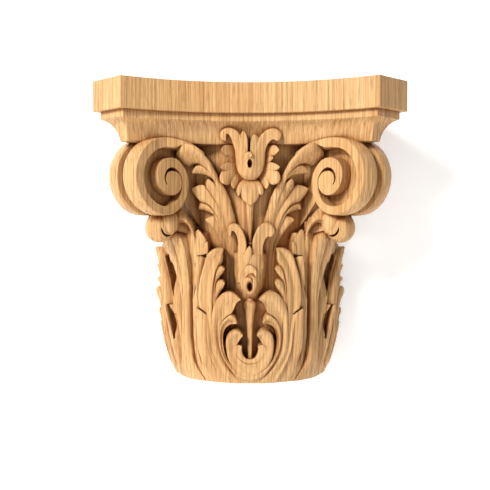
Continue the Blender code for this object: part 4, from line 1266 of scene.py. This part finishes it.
def make_oak():
    """Oak with upright grain: rings about a far pith, streaks, pores, and painted shade in the recesses.
    """
    oak, tree, shader = add_material("oak")
    place = add_node(tree, "ShaderNodeTexCoord", {}).outputs["Object"]

    def noise(settings):
        scale, detail, roughness = settings
        vector = add_node(tree, "ShaderNodeMapping", {"Vector": place, "Scale": scale}).outputs["Vector"]
        inputs = {"Vector": vector, "Scale": 1.0, "Detail": detail, "Roughness": roughness}
        return add_node(tree, "ShaderNodeTexNoise", inputs).outputs["Fac"]

    def ramp(value, stops):
        made = add_node(tree, "ShaderNodeValToRGB", {"Fac": value})
        elements = made.color_ramp.elements
        while len(elements) < len(stops):
            elements.new(NEW_STOP)
        for element, (position, colour) in zip(elements, stops):
            element.position = position
            element.color = (*colour, 1.0)
        return made.outputs["Color"]

    def maths(operation, one, two=0.0):
        return add_node(tree, "ShaderNodeMath", {0: one, 1: two}, operation=operation).outputs["Value"]

    def darken(colour, strength, layer):
        inputs = {"Factor": strength, MIX_FIRST: colour, MIX_SECOND: layer}
        settings = {"data_type": 'RGBA', "blend_type": 'MULTIPLY'}
        return add_node(tree, "ShaderNodeMix", inputs, **settings).outputs[MIX_RESULT]

    # Growth rings about an upright pith behind the block
    split = add_node(tree, "ShaderNodeSeparateXYZ", {"Vector": place})
    squares = []
    for axis, pith in zip("XY", OAK_PITH):
        offset = maths('ADD', split.outputs[axis], pith)
        squares.append(maths('MULTIPLY', offset, offset))
    distance = maths('SQRT', maths('ADD', *squares))
    wander = maths('MULTIPLY', noise(WANDER_NOISE), OAK_WANDER)
    ring = maths('FRACT', maths('ADD', maths('MULTIPLY', distance, 1.0 / OAK_RING), wander))
    streak = noise(STREAK_NOISE)
    pores = ramp(noise(FLECK_NOISE), OAK_PORES)

    base = ramp(streak, OAK_GRAIN)
    base = darken(base, BAND_STRENGTH, ramp(noise(BAND_NOISE), OAK_BAND))
    base = darken(base, RING_STRENGTH, ramp(ring, OAK_RING_TONES))
    base = darken(base, PORE_STRENGTH, pores)
    # Painted shade: the colour is darkened where ambient occlusion finds recesses and creases
    for reach, tones in OAK_PAINTED_SHADE:
        settings = {"samples": OCCLUSION_SAMPLES, "only_local": True}
        openness = add_node(tree, "ShaderNodeAmbientOcclusion", {"Distance": reach}, **settings)
        base = darken(base, 1.0, ramp(openness.outputs["AO"], tones))

    dark, light = ROUGHNESS
    rough = add_node(tree, "ShaderNodeMapRange", {"Value": streak, "To Min": dark, "To Max": light})
    height = maths('ADD', maths('MULTIPLY', pores, BUMP_PORES), maths('MULTIPLY', streak, BUMP_STREAKS))
    inputs = {"Strength": BUMP_STRENGTH, "Distance": BUMP_HEIGHT, "Height": height}
    bump = add_node(tree, "ShaderNodeBump", inputs)
    set_inputs(tree, shader, {
        "Base Color": base, "Roughness": rough.outputs["Result"], "Specular IOR Level": SPECULAR,
        "Normal": bump.outputs["Normal"],
    })
    return oak


def make_stage():
    """Pale floor below the capital and a pale wall behind it, both seen only from the front."""
    pale, tree, shader = add_material("pale")
    set_inputs(tree, shader, {
        "Base Color": (STAGE_TONE, STAGE_TONE, STAGE_TONE, 1.0), "Roughness": STAGE_ROUGHNESS,
        "Emission Color": (*WHITE, 1.0), "Emission Strength": STAGE_GLOW,
    })
    sides = add_node(tree, "ShaderNodeNewGeometry", {})
    clear = add_node(tree, "ShaderNodeBsdfTransparent", {})
    either = add_node(tree, "ShaderNodeMixShader", {
        "Fac": sides.outputs["Backfacing"], 1: shader.outputs["BSDF"], 2: clear.outputs["BSDF"],
    })
    set_inputs(tree, tree.nodes["Material Output"], {"Surface": either.outputs["Shader"]})

    left, right = -STAGE_SPAN, STAGE_SPAN
    foot = [(left, STAGE_WALL, STAGE_FLOOR), (right, STAGE_WALL, STAGE_FLOOR)]
    outlines = {
        "floor": [(left, left, STAGE_FLOOR), (right, left, STAGE_FLOOR), foot[1], foot[0]],
        "wall": foot + [(right, STAGE_WALL, STAGE_SPAN), (left, STAGE_WALL, STAGE_SPAN)],
    }
    for name, corners in outlines.items():
        mesh = bpy.data.meshes.new(name)
        mesh.from_pydata(corners, [], [(0, 1, 2, 3)])
        mesh.materials.append(pale)
        add_object(name, mesh, scene.collection)


def make_lights():
    """Round area lights that face the capital, and an even white world."""
    for name, place, size, power, colour in LIGHTS:
        light = bpy.data.lights.new(name, 'AREA')
        light.shape = 'DISK'
        light.size = size
        light.energy = power
        light.color = colour
        obj = add_object(name, light, scene.collection)
        obj.location = place
        obj.rotation_euler = (Vector(LIGHT_TARGET) - Vector(place)).to_track_quat('-Z', 'Y').to_euler()
    world = bpy.data.worlds.new("studio")
    world.use_nodes = True
    tree = world.node_tree
    set_inputs(tree, tree.nodes["Background"], {"Color": (*WHITE, 1.0), "Strength": WORLD_STRENGTH})
    scene.world = world


def make_camera():
    """Camera in front of the capital, as the photograph was taken."""
    camera = bpy.data.cameras.new("camera")
    camera.lens = LENS
    camera.sensor_width = SENSOR
    obj = add_object("camera", camera, scene.collection)
    obj.location = (0.0, AXIS_Y * MM - CAMERA_DISTANCE, CAMERA_HEIGHT)
    obj.rotation_euler = (math.radians(90.0 - CAMERA_TILT), 0.0, math.radians(CAMERA_TURN))
    scene.camera = obj
    scene.view_settings.view_transform = 'Standard'


capital = make_carving()
capital.data.materials.clear()
capital.data.materials.append(make_oak())
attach(capital, "root")
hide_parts(NODE)

make_stage()
make_lights()
make_camera()
